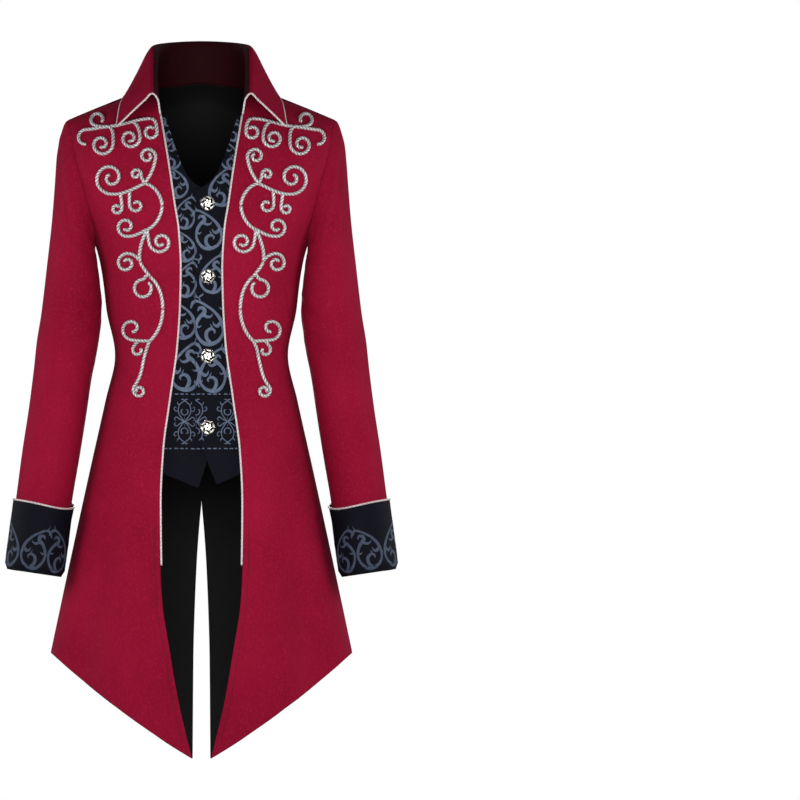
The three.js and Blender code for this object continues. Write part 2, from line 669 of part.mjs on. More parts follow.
function sleeve(hand) {
  const holes = sleeveTurns.map((turned) => armholeAt(turned, hand));
  const rings = sleeveRings.map((ring) => sleeveTurns.map((turned) => ringPoint(ring, turned, hand)));
  // The first rings keep some of the armhole's own shape.
  const flat = { outerX: shoulder.tipX, outerDrop: 36, innerX: 159.5, innerDrop: 222, depth: 54, forward: 0 };
  rings.slice(0, 4).forEach((ring, r) =>
    ring.forEach((point, i) => {
      const bend = holes[i].point.clone().sub(ringPoint(flat, sleeveTurns[i], hand));
      point.addScaledVector(bend, 0.8 - 0.2 * r);
    }),
  );
  const first = holes.map(({ point }, i) => {
    const outwards = rings[0][i].clone().sub(point).normalize();
    return point.clone().addScaledVector(outwards, seamGap);
  });
  const all = [first, ...rings];
  const count = sleeveTurns.length;
  const cells = gridCells(rings.length, count, (r, c) => r * count + (c % count), hand < 0);
  const vertices = all.flat();
  const normals = cellNormals(vertices, cells);
  // Near the shoulder tip the sleeve's edge stands like the coat's, so that the two don't meet.
  sleeveTurns.forEach((turned, i) => {
    const fromTop = Math.min(turned, 360 - turned);
    const share = 1 - smooth(fromTop, 40, 85);
    normals[i].lerp(holes[i].normal, share).normalize();
  });
  return clothWall(vertices, normals, cells, clothThickness);
}

const blendRings = (table, t) => {
  const at = clamp(t, 0, 1) * (table.length - 1);
  const i = Math.min(Math.floor(at), table.length - 2);
  const mixed = {};
  Object.keys(table[0]).forEach((key) => {
    mixed[key] = lerp(table[i][key], table[i + 1][key], at - i);
  });
  return mixed;
};

// A cuff is a band round the sleeve whose end laps over its start behind the wrist. Its top corner
// there is rounded off, and its top edge sags in front and stands up behind.
const cuffTurns = steps(22);
function cuffPoint(along, down, hand) {
  const turned = cuffOverlap.start - cuffOverlap.turn * along;
  const corner = smooth(along, 1 - cuffOverlap.roundTurn, 1) ** 2;
  const lift = cuffOverlap.lift * smooth(along, 1 - cuffOverlap.liftTurn, 1 - 0.035);
  const height = 118;
  const start = (cuffOverlap.roundDrop * corner) / height;
  const ring = blendRings(cuffRings, lerp(start, 1, down));
  const spread = { ...ring, depth: ring.depth + lift };
  spread.outerX += lift;
  spread.innerX -= lift;
  const bell = (centre) => Math.exp(-(((turned - centre) / cuffRim.spread) ** 2));
  const rise = cuffRim.rise * bell(cuffRim.riseTurn) - cuffRim.sag * bell(cuffRim.sagTurn);
  const point = ringPoint(spread, turned, hand);
  return point.setZ(point.z + rise * (1 - down) ** 2);
}

function cuff(hand) {
  const downs = steps(cuffRings.length - 1);
  const vertices = downs.flatMap((down) => cuffTurns.map((along) => cuffPoint(along, down, hand)));
  const width = cuffTurns.length;
  const cells = gridCells(downs.length - 1, width - 1, (r, c) => r * width + c, hand > 0);
  return clothWall(vertices, cellNormals(vertices, cells), cells, clothThickness);
}

function cuffPiping(hand) {
  const clear = pipingRadius + seamGap;
  const beside = (along, down, alongInside, downInside) => {
    const point = cuffPoint(along, down, hand);
    return point.sub(cuffPoint(alongInside, downInside, hand)).setLength(clear);
  };
  const above = (along) => beside(along, 0, along, 0.2);
  const past = (down) => beside(1, down, 0.98, down);
  const top = cuffTurns.slice(1, -1).map((along) => cuffPoint(along, 0, hand).add(above(along)));
  const corner = cuffPoint(1, 0, hand).add(above(1)).add(past(0));
  const end = steps(5).slice(1).map((t) => cuffPoint(1, t, hand).add(past(t)));
  const path = [...top, corner, ...end];
  const middle = path.reduce((sum, p) => sum.add(p), new THREE.Vector3()).divideScalar(path.length);
  const ups = path.map((point) => point.clone().sub(middle).setZ(0).normalize());
  return sweep(path, ups, roundProfile(pipingRadius, 5));
}

// The collar is one folded piece. Across it, a smooth curve goes up from the neck seam, over the
// roll, and down to the free edge.
const collarKeys = ["foldX", "foldY", "foldZ", "edgeX", "edgeY", "edgeZ", "roll"];
const collarTable = [
  ...collarLine.slice(1).reverse().map((row) => ({
    ...row,
    at: -row.at,
    foldX: -row.foldX,
    edgeX: -row.edgeX,
  })),
  ...collarLine,
];
const collarReaders = Object.fromEntries(
  collarKeys.map((key) => [key, reader(collarTable, "at", key)]),
);
function collarBase(at, hand) {
  const side = at <= 0.5 ? BACK : FRONT;
  const place = at <= 0.5 ? backNeckPlace(2 * at) : frontNeckPlace(2 * at - 1);
  const normal = coatNormal(place, side, hand);
  const point = coatPoint(place, side, hand);
  return point.setZ(point.z + seamGap + 0.15).addScaledVector(normal, 0.1);
}

function collarSection(at) {
  const row = Object.fromEntries(collarKeys.map((key) => [key, collarReaders[key](at)]));
  const base = collarBase(Math.abs(at), at < 0 ? -1 : 1);
  const fold = new THREE.Vector3(row.foldX, row.foldY, row.foldZ);
  const edge = new THREE.Vector3(row.edgeX, row.edgeY, row.edgeZ);
  const out = edge.clone().sub(base).setZ(0).normalize();
  const inside = fold.clone().addScaledVector(out, -row.roll * 0.9);
  inside.z -= row.roll * 1.1;
  const outside = fold.clone().addScaledVector(out, row.roll * 1.05);
  outside.z -= row.roll;
  const stand = base.clone().lerp(inside, 0.55);
  const drape = outside.clone().lerp(edge, 0.5).addScaledVector(out, 0.5);
  return new THREE.CatmullRomCurve3([base, stand, inside, fold, outside, drape, edge], false, "centripetal");
}

const collarColumns = steps(4 * columns.backNeck).map((t) => 2 * t - 1);
const collarAcross = steps(9);
const collarPoint = (at, across) => collarSection(at).getPoint(across);

const collarPoints = collarAcross.map((across) => collarColumns.map((at) => collarPoint(at, across)));
const collarWidth = collarColumns.length;
const collarCells = gridCells(collarAcross.length - 1, collarWidth - 1, (r, c) => r * collarWidth + c, true);
const collarNormals = cellNormals(collarPoints.flat(), collarCells);

const collar = () => clothWall(collarPoints.flat(), collarNormals, collarCells, collarThickness);

// The piping runs up one front edge of the collar, along its free edge, and down the other front.
function collarPiping() {
  const [last, end] = [collarAcross.length - 1, collarWidth - 1];
  const middle = (r, c) =>
    collarPoints[r][c].clone().addScaledVector(collarNormals[r * collarWidth + c], -collarThickness / 2);
  const clear = pipingRadius + seamGap + 0.2;
  const past = (r, c, toR, toC) => {
    const away = middle(r, c).sub(middle(toR, toC));
    const along =
      toR === r
        ? middle(Math.min(r + 1, last), c).sub(middle(Math.max(r - 1, 0), c))
        : middle(r, Math.min(c + 1, end)).sub(middle(r, Math.max(c - 1, 0)));
    along.normalize();
    return away.addScaledVector(along, -away.dot(along)).setLength(clear);
  };
  const beside = (c, inner) => (r) => middle(r, c).add(past(r, c, r, inner));
  const inRows = collarAcross.map((_, r) => r).slice(0, -1);
  const below = collarColumns.map((_, c) => {
    const point = middle(last, c).add(past(last, c, last - 1, c));
    if (c === 0) point.add(past(last, 0, last, 1));
    if (c === end) point.add(past(last, end, last, end - 1));
    return point;
  });
  const path = [...inRows.map(beside(0, 1)), ...below, ...inRows.reverse().map(beside(end, end - 1))];
  const up = new THREE.Vector3(0, -1, 0.35).normalize();
  return sweep(path, path.map(() => up), roundProfile(pipingRadius, 5));
}

function frontPiping(hand) {
  const top = frontNeckPlace(1).drop + 3;
  const path = steps(15).map((t) => {
    const drop = lerp(top, pipingEndDrop, t);
    const x = frontEdgeX(drop) - pipingRadius - seamGap - 0.15;
    return laidOn(hand * x, drop, FRONT, -clothThickness / 2).point;
  });
  return sweep(path, path.map(() => new THREE.Vector3(0, -1, 0)), roundProfile(pipingRadius, 5));
}

// The waistcoat hangs inside the fronts: clear of them at their edges, and sewn to them at its own
// outer sides, where its points are the front's points moved in.
const frontGrid = frontPlaces();
const waistcoatRow = (r) => frontGrid[waistcoatSide.firstRow + r];
function sewnPoint(r, hand) {
  const row = waistcoatRow(r).map((place) => coatPoint(place, FRONT, 1));
  const wanted = lerp(waistcoatSide.top, waistcoatSide.bottom, r / rows.waistcoat);
  const i = row.findIndex((point, c) => c < row.length - 1 && row[c + 1].x > wanted);
  const t = (wanted - row[i].x) / (row[i + 1].x - row[i].x);
  const point = row[i].clone().lerp(row[i + 1], t);
  const normal = coatNormal(placeOf(point.x, -point.z), FRONT, 1);
  point.addScaledVector(normal, -clothThickness - seamGap - 0.2);
  return point.setX(hand * point.x);
}

function waistcoatFront(hand) {
  const lapping = hand > 0;
  const edge = waistcoatEdges[lapping ? "lapping" : "lower"];
  const edgeX = reader(edge, "drop", "x");
  const last = edge[edge.length - 1];
  const vertices = steps(rows.waistcoat).flatMap((t, r) => {
    const sewn = sewnPoint(r, hand);
    // The hem ends part of the way to the front's next row of points.
    if (r === rows.waistcoat) sewn.lerp(sewnPoint(r - 1, hand), 1 - waistcoatSide.lastShare);
    const innerDrop = lerp(edge[0].drop, last.drop, t);
    return steps(columns.waistcoat).map((s) => {
      if (s === 1) return sewn;
      const drop = lerp(innerDrop, -sewn.z, s);
      const x = lerp(edgeX(innerDrop), hand * sewn.x, s);
      const free = waistcoatStandOff * (1 - 0.4 * smooth(x, frontEdgeX(drop) + 6, hand * sewn.x));
      const under = lapping ? 0 : (waistcoatThickness + 3 * seamGap) * (1 - smooth(x, 12, 30));
      const depth = clothThickness + seamGap + 0.5 + free + under;
      return laidOn(hand * x, drop, FRONT, -depth).point;
    });
  });
  const width = columns.waistcoat + 1;
  const cells = gridCells(rows.waistcoat, columns.waistcoat, (r, c) => r * width + c, hand > 0);
  return clothWall(vertices, cellNormals(vertices, cells), cells, waistcoatThickness);
}

function buttonShape() {
  const profile = [
    [0, 0],
    [buttonRadius * 0.8, 0],
    [buttonRadius, buttonHeight * 0.28],
    [buttonRadius * 0.78, buttonHeight * 0.74],
    [0, buttonHeight],
  ].map(([r, h]) => new THREE.Vector2(r, h));
  const geometry = new THREE.LatheGeometry(profile, 12);
  geometry.deleteAttribute("normal");
  geometry.deleteAttribute("uv");
  return mergeVertices(geometry);
}

// The points of a scroll: a stem is a cubic between two points and headings, and a curl is such a
// stem that runs on into a spiral, which tightens as it turns.
function scrollPoints(scroll) {
  const heading = (turned) => new THREE.Vector2(Math.cos(turned * degrees), -Math.sin(turned * degrees));
  const start = new THREE.Vector2(...scroll.from);
  const way = Math.sign(scroll.turns ?? 1);
  const onSpiral = (t) => {
    const radius = scroll.end + (scroll.radius - scroll.end) * (1 - t) ** 1.25;
    const out = heading(scroll.entry + 360 * scroll.turns * t);
    return new THREE.Vector2(...scroll.centre).addScaledVector(out, radius);
  };
  const end = scroll.to ? new THREE.Vector2(...scroll.to) : onSpiral(0);
  const arrive = heading(scroll.to ? scroll.arrive : scroll.entry + 90 * way);
  const reach = start.distanceTo(end) * (scroll.to ? 1 : 1.15);
  const leave = heading(scroll.heading);
  const stem = steps(Math.max(2, Math.round(reach / scrollStep))).map((t) => {
    const point = start.clone().multiplyScalar((1 + 2 * t) * (1 - t) ** 2);
    point.addScaledVector(leave, reach * t * (1 - t) ** 2);
    point.addScaledVector(end, t * t * (3 - 2 * t));
    return point.addScaledVector(arrive, reach * t * t * (t - 1));
  });
  if (scroll.to) return stem;
  const arc = 2 * Math.PI * Math.abs(scroll.turns) * (0.6 * scroll.radius + 0.4 * scroll.end);
  const count = Math.ceil(Math.max(Math.abs(scroll.turns) * 7.5, arc / scrollStep));
  return [...stem, ...steps(count).slice(1).map(onSpiral)];
}

// Applied cord: every scroll is a low ridge that lies on the faces of its panel, and the scrolls
// that touch are joined in one piece.
const caster = new THREE.Raycaster();
function laidOnPanel(x, drop, side, panel, lift) {
  const from = new THREE.Vector3(x, side * 400, -drop);
  caster.set(from, new THREE.Vector3(0, -side, 0));
  const [hit] = caster.intersectObject(panel);
  const { normal } = laidOn(x, drop, side, 0);
  return hit.point.clone().addScaledVector(normal, lift);
}

function ridge(scroll, side, hand, panel) {
  const path = scrollPoints(scroll);
  const triangles = [];
  const vertices = path.flatMap((p, i) => {
    const along = path[Math.min(i + 1, path.length - 1)].clone().sub(path[Math.max(i - 1, 0)]).normalize();
    const across = new THREE.Vector2(-along.y, along.x).multiplyScalar(scrollWidth / 2);
    const lay = (offset, lift) => {
      const q = p.clone().addScaledVector(across, offset);
      return laidOnPanel(hand * q.x, q.y, side, panel, lift);
    };
    return [lay(-1, scrollClear), lay(1, scrollClear), lay(0, scrollHeight)];
  });
  const flipped = side * hand < 0;
  const face = (a, b, c) => triangles.push(...(flipped ? [a, c, b] : [a, b, c]));
  for (let i = 0; i < path.length - 1; i += 1) {
    for (let j = 0; j < 3; j += 1) {
      const [a, b] = [3 * i + j, 3 * i + ((j + 1) % 3)];
      face(a, b, b + 3);
      face(a, b + 3, a + 3);
    }
  }
  const last = vertices.length - 3;
  face(0, 2, 1);
  face(last, last + 1, last + 2);
  return meshGeometry(vertices, triangles);
}

function scrollWork(scrolls, side, panels) {
  const solids = panels.flatMap(([hand, panel]) =>
    scrolls.map((scroll) => solidOf(ridge(scroll, side, hand, panel))),
  );
  return geometryOf(solids.reduce((sum, solid) => sum.add(solid)));
}

function solidOf(geometry) {
  const merged = mergeVertices(geometry, 1e-4);
  return new wasm.Manifold(
    new wasm.Mesh({
      numProp: 3,
      vertProperties: merged.attributes.position.array,
      triVerts: new Uint32Array(merged.index.array),
    }),
  );
}

function geometryOf(solid) {
  const mesh = solid.getMesh();
  const geometry = new THREE.BufferGeometry();
  geometry.setAttribute("position", new THREE.BufferAttribute(mesh.vertProperties, 3));
  geometry.setIndex(new THREE.BufferAttribute(mesh.triVerts, 1));
  return geometry;
}

const backGrid = backPlaces();
const back = addPiece("back", backWall(backGrid, 0, clothThickness), red);
addPiece("back_lining", backWall(backGrid, clothThickness + seamGap, liningThickness), black);
let lappingFront;
[-1, 1].forEach((hand) => {
  const name = handName(hand);
  const front = addPiece(`front_${name}`, coatPanel(frontGrid, FRONT, hand, clothThickness), red);
  addPiece(`back_side_${name}`, coatPanel(backSidePlaces(), BACK, hand, clothThickness), red);
  addPiece(`sleeve_${name}`, sleeve(hand), red);
  addPiece(`cuff_${name}`, cuff(hand), brocade);
  addPiece(`piping_cuff_${name}`, cuffPiping(hand), silverCord);
  addPiece(`piping_front_${name}`, frontPiping(hand), silverCord);
  lappingFront = addPiece(`waistcoat_${name}`, waistcoatFront(hand), brocade);
  addPiece(`scrolls_chest_${name}`, scrollWork(chestScrolls, FRONT, [[hand, front]]), silverCord);
  addPiece(`scrolls_shoulder_${name}`, scrollWork(shoulderScrolls, FRONT, [[hand, front]]), silverCord);
});
addPiece("scrolls_back", scrollWork(backScrolls, BACK, [[-1, back], [1, back]]), silverCord);
addPiece("collar", collar(), red);
addPiece("piping_collar", collarPiping(), silverCord);
buttonDrops.forEach((drop, i) => {
  const mesh = addPiece(`button_${i + 1}`, buttonShape(), silver);
  mesh.position.copy(laidOnPanel(buttonX, drop, FRONT, lappingFront, 0.5));
  mesh.quaternion.setFromUnitVectors(new THREE.Vector3(0, 1, 0), laidOn(buttonX, drop, FRONT, 0).normal);
});

export default coat;
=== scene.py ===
"""A crimson tailcoat with brocade cuffs and a false waistcoat front, hollow, in the shape it has worn.

Shapes are worked out in millimetres, with x to the wearer's left, y to the back and drop down from
the neck, and put into meshes in metres. Angles of a level section run from its middle to its side.
"""

import bpy
import numpy as np
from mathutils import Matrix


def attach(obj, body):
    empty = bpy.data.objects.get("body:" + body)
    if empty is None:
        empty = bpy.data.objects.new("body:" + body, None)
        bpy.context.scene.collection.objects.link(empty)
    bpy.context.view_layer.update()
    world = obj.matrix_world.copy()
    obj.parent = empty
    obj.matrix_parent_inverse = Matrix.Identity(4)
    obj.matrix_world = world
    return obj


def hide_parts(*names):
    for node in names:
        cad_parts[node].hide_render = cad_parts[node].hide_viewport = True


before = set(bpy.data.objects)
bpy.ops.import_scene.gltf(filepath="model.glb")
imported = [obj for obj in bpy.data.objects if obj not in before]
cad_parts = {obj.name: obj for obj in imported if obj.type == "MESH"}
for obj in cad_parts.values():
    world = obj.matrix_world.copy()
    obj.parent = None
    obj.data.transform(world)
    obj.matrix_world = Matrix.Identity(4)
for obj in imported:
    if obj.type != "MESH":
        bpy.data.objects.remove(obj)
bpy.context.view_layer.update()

FRONT = -1
BACK = 1
NAMES = {-1: "right", 1: "left"}
# Thicknesses of the cloths, the gap at a seam, how square a level section is, and the radii of trims
CLOTH = 2.0
LINING = 1.0
WAISTCOAT = 1.5
COLLAR = 2.4
SEAM = 0.35
SQUARENESS = 2.3
PIPING = 1.5
CORD = 2.5
# How a panel's border is pressed into its seams: how deep, how far in, and how far from its neighbour
PRESSED = {"dip": 0.7, "reach": 1.7, "apart": 0.15}

SHOULDER = {"peak": 46, "slope": 0.4, "softness": 30, "tip_x": 198.5, "neck_x": 74}
ROLL = {FRONT: 75, BACK: 50}
NECK = {"front": 86, "back": 70, "front_x": 63}
ARMHOLE = {"middle_drop": 129, "half_height": 93, "half_depth": 54}
HEM = {"side_drop": 834, "tip_drop": 991.5, "side_x": 226.5, "tip_x": 15, "bow": 0.2}
# The hem's ends, which folds don't move: mm from the tip, and the turn beside the side seam
HEM_ENDS = {"fixed": 5, "free": 35, "free_turn": 80, "fixed_turn": 89}
VENT_TOP = 604.5
PIPING_END = 703
UNDERARM = ARMHOLE["middle_drop"] + ARMHOLE["half_height"]


def table(columns, *rows):
    """A table as a dictionary of its named columns."""
    return dict(zip(columns.split(), np.array(rows, float).T))


def rows_of(columns):
    """The rows of a table, each a dictionary."""
    return [dict(zip(columns, row)) for row in zip(*columns.values())]


# Level sections of the coat, and how far its cut edge, shaping seam and vent are from the middle
SECTIONS = table(
    "drop half_width front back",
    (-40, 212, 92, 104),
    (36, 212, 98, 107),
    (100, 203, 112, 113),
    (140, 191, 117, 114),
    (180, 176, 119, 110),
    (222, 159.5, 117, 104),
    (250, 152, 113, 99),
    (285, 146.5, 108, 93),
    (320, 142.5, 103, 88),
    (387, 129.8, 97, 83),
    (455, 144, 105, 92),
    (560, 167.5, 123, 114),
    (700, 198, 141, 133),
    (834, 226.5, 155, 150),
    (1010, 264, 171, 170),
)
FRONT_EDGE = table(
    "drop x",
    (27, 63),
    (92, 52),
    (160, 42),
    (200, 36),
    (256, 33),
    (306, 34),
    (370, 38),
    (451, 49),
    (531, 59.5),
    (607, 63),
    (703, 62),
    (760, 59),
    (825, 49),
    (906, 35),
    (991.5, 15),
)
BACK_SEAM = table(
    "drop x",
    (200, 161),
    (215, 145),
    (238, 128),
    (268, 119),
    (340, 113),
    (400, 113),
    (480, 121),
    (560, 129),
    (700, 138),
    (900, 149),
)
VENT = table(
    "drop x",
    (604.5, 0),
    (655, 4.5),
    (700, 7.5),
    (770, 10.5),
    (837, 12.3),
    (991.5, 13.5),
)
# Soft folds of the skirts: side is -1 in front, hand is -1 for the wearer's right
FOLDS = table(
    "side hand angle spread depth start",
    (-1, -1, 29, 9, 8, 420),
    (-1, -1, 48, 9, -8, 480),
    (-1, -1, 67, 8, 5, 560),
    (-1, 1, 27, 8, 7, 430),
    (-1, 1, 45, 10, -8, 460),
    (-1, 1, 66, 8, 6, 600),
    (1, -1, 13, 6, 6, 600),
    (1, -1, 28, 8, -8, 470),
    (1, -1, 45, 8, 6, 520),
    (1, -1, 64, 8, -6, 560),
    (1, 1, 14, 6, 5, 620),
    (1, 1, 30, 8, -9, 450),
    (1, 1, 47, 9, 6, 540),
    (1, 1, 66, 8, -5, 580),
)
# Small creases, as soft troughs from one point of a panel to another: side, hand, x and drop at each
# end, half the width, and depth
CREASES = table(
    "side hand x0 drop0 x1 drop1 width depth",
    (-1, -1, 168, 186, 84, 262, 15, 2.6),
    (-1, -1, 160, 236, 96, 300, 12, 1.9),
    (-1, -1, 142, 300, 74, 340, 12, 1.6),
    (-1, -1, 131, 366, 62, 388, 11, 2.0),
    (-1, -1, 134, 408, 84, 466, 12, 2.0),
    (-1, -1, 158, 92, 118, 176, 15, 1.8),
    (-1, -1, 60, 230, 58, 430, 9, 1.4),
    (-1, 1, 166, 194, 92, 272, 14, 2.4),
    (-1, 1, 156, 250, 90, 306, 12, 1.8),
    (-1, 1, 140, 318, 70, 346, 11, 1.5),
    (-1, 1, 130, 374, 66, 398, 11, 2.1),
    (-1, 1, 136, 418, 92, 480, 13, 1.8),
    (-1, 1, 154, 100, 122, 186, 14, 1.7),
    (-1, 1, 62, 226, 58, 410, 9, 1.4),
    (1, -1, 152, 146, 70, 236, 17, 2.2),
    (1, -1, 128, 262, 48, 304, 13, 1.7),
    (1, -1, 122, 338, 40, 368, 12, 2.0),
    (1, -1, 120, 398, 30, 424, 12, 2.2),
    (1, -1, 96, 446, 40, 566, 15, 2.2),
    (1, 1, 150, 152, 76, 246, 16, 2.2),
    (1, 1, 130, 270, 54, 312, 13, 1.6),
    (1, 1, 122, 346, 46, 376, 12, 2.0),
    (1, 1, 118, 404, 36, 432, 12, 2.1),
    (1, 1, 92, 452, 34, 558, 15, 2.2),
)
# Rings of a sleeve below the armhole
SLEEVE = table(
    "outer_x outer_drop inner_x inner_drop depth forward",
    (204, 45, 159.6, 228, 55, 0),
    (211, 68, 158.6, 236, 56, 0),
    (216, 100, 157, 246, 57, 0),
    (220, 142, 154.8, 259, 57, 0),
    (225, 192, 152.5, 276, 57, 0),
    (231.5, 250, 150.8, 300, 56, 0),
    (240, 322, 151.2, 336, 54, 1),
    (247, 366, 156.5, 378, 52, 3),
    (252, 412, 165, 424, 51, 7),
    (259.5, 470, 173.5, 482, 50, 13),
    (269, 532, 183.5, 544, 48, 20),
    (278, 600, 195, 612, 46, 27),
    (291, 694, 207, 706, 45, 37.5),
)
# Creases of a sleeve, long and soft ones round the elbow: turn and ring at each end
SLEEVE_CREASES = table(
    "turn0 ring0 turn1 ring1 width depth",
    (20, 2.2, 80, 4.4, 11, 1.5),
    (150, 3.2, 95, 5.2, 10, 1.6),
    (170, 6.2, 95, 7.3, 9, 2.2),
    (165, 7.4, 70, 8.0, 9, 1.9),
    (60, 8.2, 130, 9.4, 9, 1.5),
    (190, 6.6, 250, 7.6, 9, 1.9),
    (200, 8.2, 285, 8.8, 9, 1.4),
    (110, 9.6, 60, 11.0, 9, 1.4),
    (250, 9.2, 300, 10.8, 10, 1.4),
    (200, 2.4, 262, 4.2, 10, 1.6),
    (300, 2.0, 285, 4.6, 12, 1.2),
)
# The armhole as a plain ring, and how many mm a degree of turn and a ring are in the creases above
SLEEVE_TOP = dict(outer_x=198.5, outer_drop=36, inner_x=159.5, inner_drop=222, depth=54, forward=0)
MM_A_TURN = 0.85
MM_A_RING = 45
# Rings of a cuff from its top edge to its fold, its lap, and the wave of its top edge
CUFF = table(
    "outer_x outer_drop inner_x inner_drop depth forward",
    (282.5, 605, 191, 619, 51.5, 28),
    (285, 624, 195, 637, 50, 30),
    (290, 660, 199.5, 673, 49, 34),
    (294.8, 698, 205, 711, 48.5, 38),
    (291.5, 708, 210.5, 720, 44.5, 39),
)
CUFF_LAP = dict(
    start=308, turn=368, height=118, lift=4.0, lift_turn=0.12, flat_turn=0.035, round_turn=0.1, round_drop=26
)
CUFF_RIM = dict(sag_turn=120, sag=3.0, rise_turn=215, rise=7.0, spread=40)
# Half the collar: where its fold and its free edge run, and how wide the fold rolls
COLLAR_HALF = table(
    "at fold_x fold_y fold_z edge_x edge_y edge_z roll",
    (0, 0, 70, 81.5, 0, 90, 38, 5),
    (0.25, 46, 53, 79.5, 60, 74, 26, 5),
    (0.5, 72, -4, 74, 106, 8, 10, 6),
    (0.75, 74, -50, 40, 119, -46, -8.5, 7),
    (1, 74, -88, 6, 126, -85, -44, 8),
)
# The whole collar, from its end on the wearer's right (-1) to the one on the left (1)
COLLAR_LINE = {
    name: np.concatenate([column[:0:-1] * (-1 if name in ("at", "fold_x", "edge_x") else 1), column])
    for name, column in COLLAR_HALF.items()
}
# The waistcoat's neckline, its buttoned edge on each front, and the line along which it is sewn in
NECKLINE = [(24, 57), (40, 50.5), (84, 36), (115, 22.5), (128, 11), (135, 0)]
WAISTCOAT_EDGE = {
    1: table("drop x", *NECKLINE, (139, -9.5), (490, -9.5), (520, -2), (545, 8.5), (580, 23)),
    -1: table("drop x", *NECKLINE, (140, -12), (520, -12), (548, -7), (585, 5)),
}
WAISTCOAT_SIDE = dict(top_x=86, top_drop=37, bottom_x=104, bottom_drop=546)
# How far a waistcoat front stands off the coat, and how its own edge is turned back
STAND_OFF = 4.0
TURNED_EDGE = dict(height=0.9, width=2.2)
BUTTON_DROPS = [159, 270, 388.5, 494.5]
BUTTON_X = 9.5
BUTTON = dict(radius=10.9, dome=5.4, hollow=1.9, lift=0.35, swirl=1.7)
# Rings of holes in a button, as shares of its radius: how many, how far out, how wide, how far turned
BUTTON_HOLES = ((6, 1.04, 0.2, 0), (6, 0.62, 0.205, 0.5), (1, 0.12, 0.12, 0.2))
# The applied cord's strands, the way in which one of them turns round once, and its swell
ROPE = (3, 3.9, 0.3)
TOPSTITCH = dict(start=640, end=972, from_edge=8, sunk=0.12)

# Scrolls of applied cord on a panel: a stem runs to a point, and a curl into a spiral round a centre
CHEST = [
    dict(start=(86, 130), heading=180, to=(59, 163), arrive=-90),
    dict(start=(59, 163), heading=-90, to=(82, 199), arrive=-20),
    dict(start=(82, 199), heading=-70, to=(92, 247), arrive=-100),
    dict(start=(92, 247), heading=-110, to=(77, 269), arrive=-125),
    dict(start=(77, 269), heading=-140, to=(58, 318), arrive=-90),
    dict(start=(58, 318), heading=-90, to=(77, 366), arrive=-45),
    dict(start=(86, 130), heading=130, centre=(81, 89), radius=12.5, entry=190, turns=-1.25, end=4),
    dict(start=(86, 131), heading=95, centre=(98, 116), radius=8, entry=185, turns=-1.1, end=3.2),
    dict(start=(86, 130), heading=-25, centre=(136, 121), radius=24, entry=-80, turns=1.45, end=4.5),
    dict(start=(107, 141), heading=-85, centre=(97, 162), radius=10.5, entry=0, turns=-0.95, end=4),
    dict(start=(121, 144), heading=-90, centre=(127, 167), radius=8, entry=185, turns=0.95, end=3.6),
    dict(start=(81, 198), heading=-30, centre=(112, 194), radius=14.5, entry=-85, turns=1.15, end=4.4),
    dict(start=(81, 199), heading=-95, centre=(61, 217), radius=17, entry=-10, turns=-1.4, end=4.4),
    dict(start=(93, 245), heading=60, centre=(112, 249), radius=15, entry=95, turns=-1.2, end=4.5),
    dict(start=(79, 267), heading=40, centre=(87, 287), radius=13.5, entry=85, turns=-0.88, end=12),
    dict(start=(77, 366), heading=5, centre=(103, 347), radius=17, entry=-80, turns=1, end=4.6),
    dict(start=(94, 366.5), heading=-20, centre=(95, 380), radius=9, entry=40, turns=-0.75, end=4),
    dict(start=(77, 366), heading=-60, centre=(93, 441), radius=10, entry=40, turns=-1.2, end=4),
]
SHOULDERS = [
    dict(start=(75, 33), heading=0, to=(137, 45), arrive=-5),
    dict(start=(137, 45), heading=-5, centre=(154, 35), radius=11, entry=0, turns=0.62, end=6),
    dict(start=(137, 45), heading=-5, centre=(173, 62), radius=12, entry=85, turns=-0.5, end=9),
    dict(start=(139, 44.5), heading=210, centre=(149, 71), radius=17, entry=180, turns=1.35, end=4.4),
    dict(start=(106, 37), heading=190, centre=(107, 62), radius=15, entry=180, turns=1.35, end=4.2),
    dict(start=(75, 33), heading=195, centre=(76, 53), radius=9.5, entry=175, turns=0.9, end=7),
]
LOWER_BACK = [
    dict(start=(0, 416), heading=90, to=(0, 376), arrive=90),
    dict(start=(0, 376), heading=75, centre=(63, 362), radius=13, entry=92, turns=-1.3, end=4.4),
    dict(start=(47, 349), heading=50, centre=(34, 325), radius=15.5, entry=0, turns=0.85, end=8.5),
    dict(start=(0, 416), heading=-70, centre=(29, 412), radius=29, entry=-85, turns=1.65, end=7),
    dict(start=(45, 437), heading=25, centre=(98, 381), radius=11.5, entry=130, turns=-1.35, end=4.2),
    dict(start=(50, 433), heading=50, centre=(96, 433), radius=17.5, entry=100, turns=-1.5, end=4.6),
]

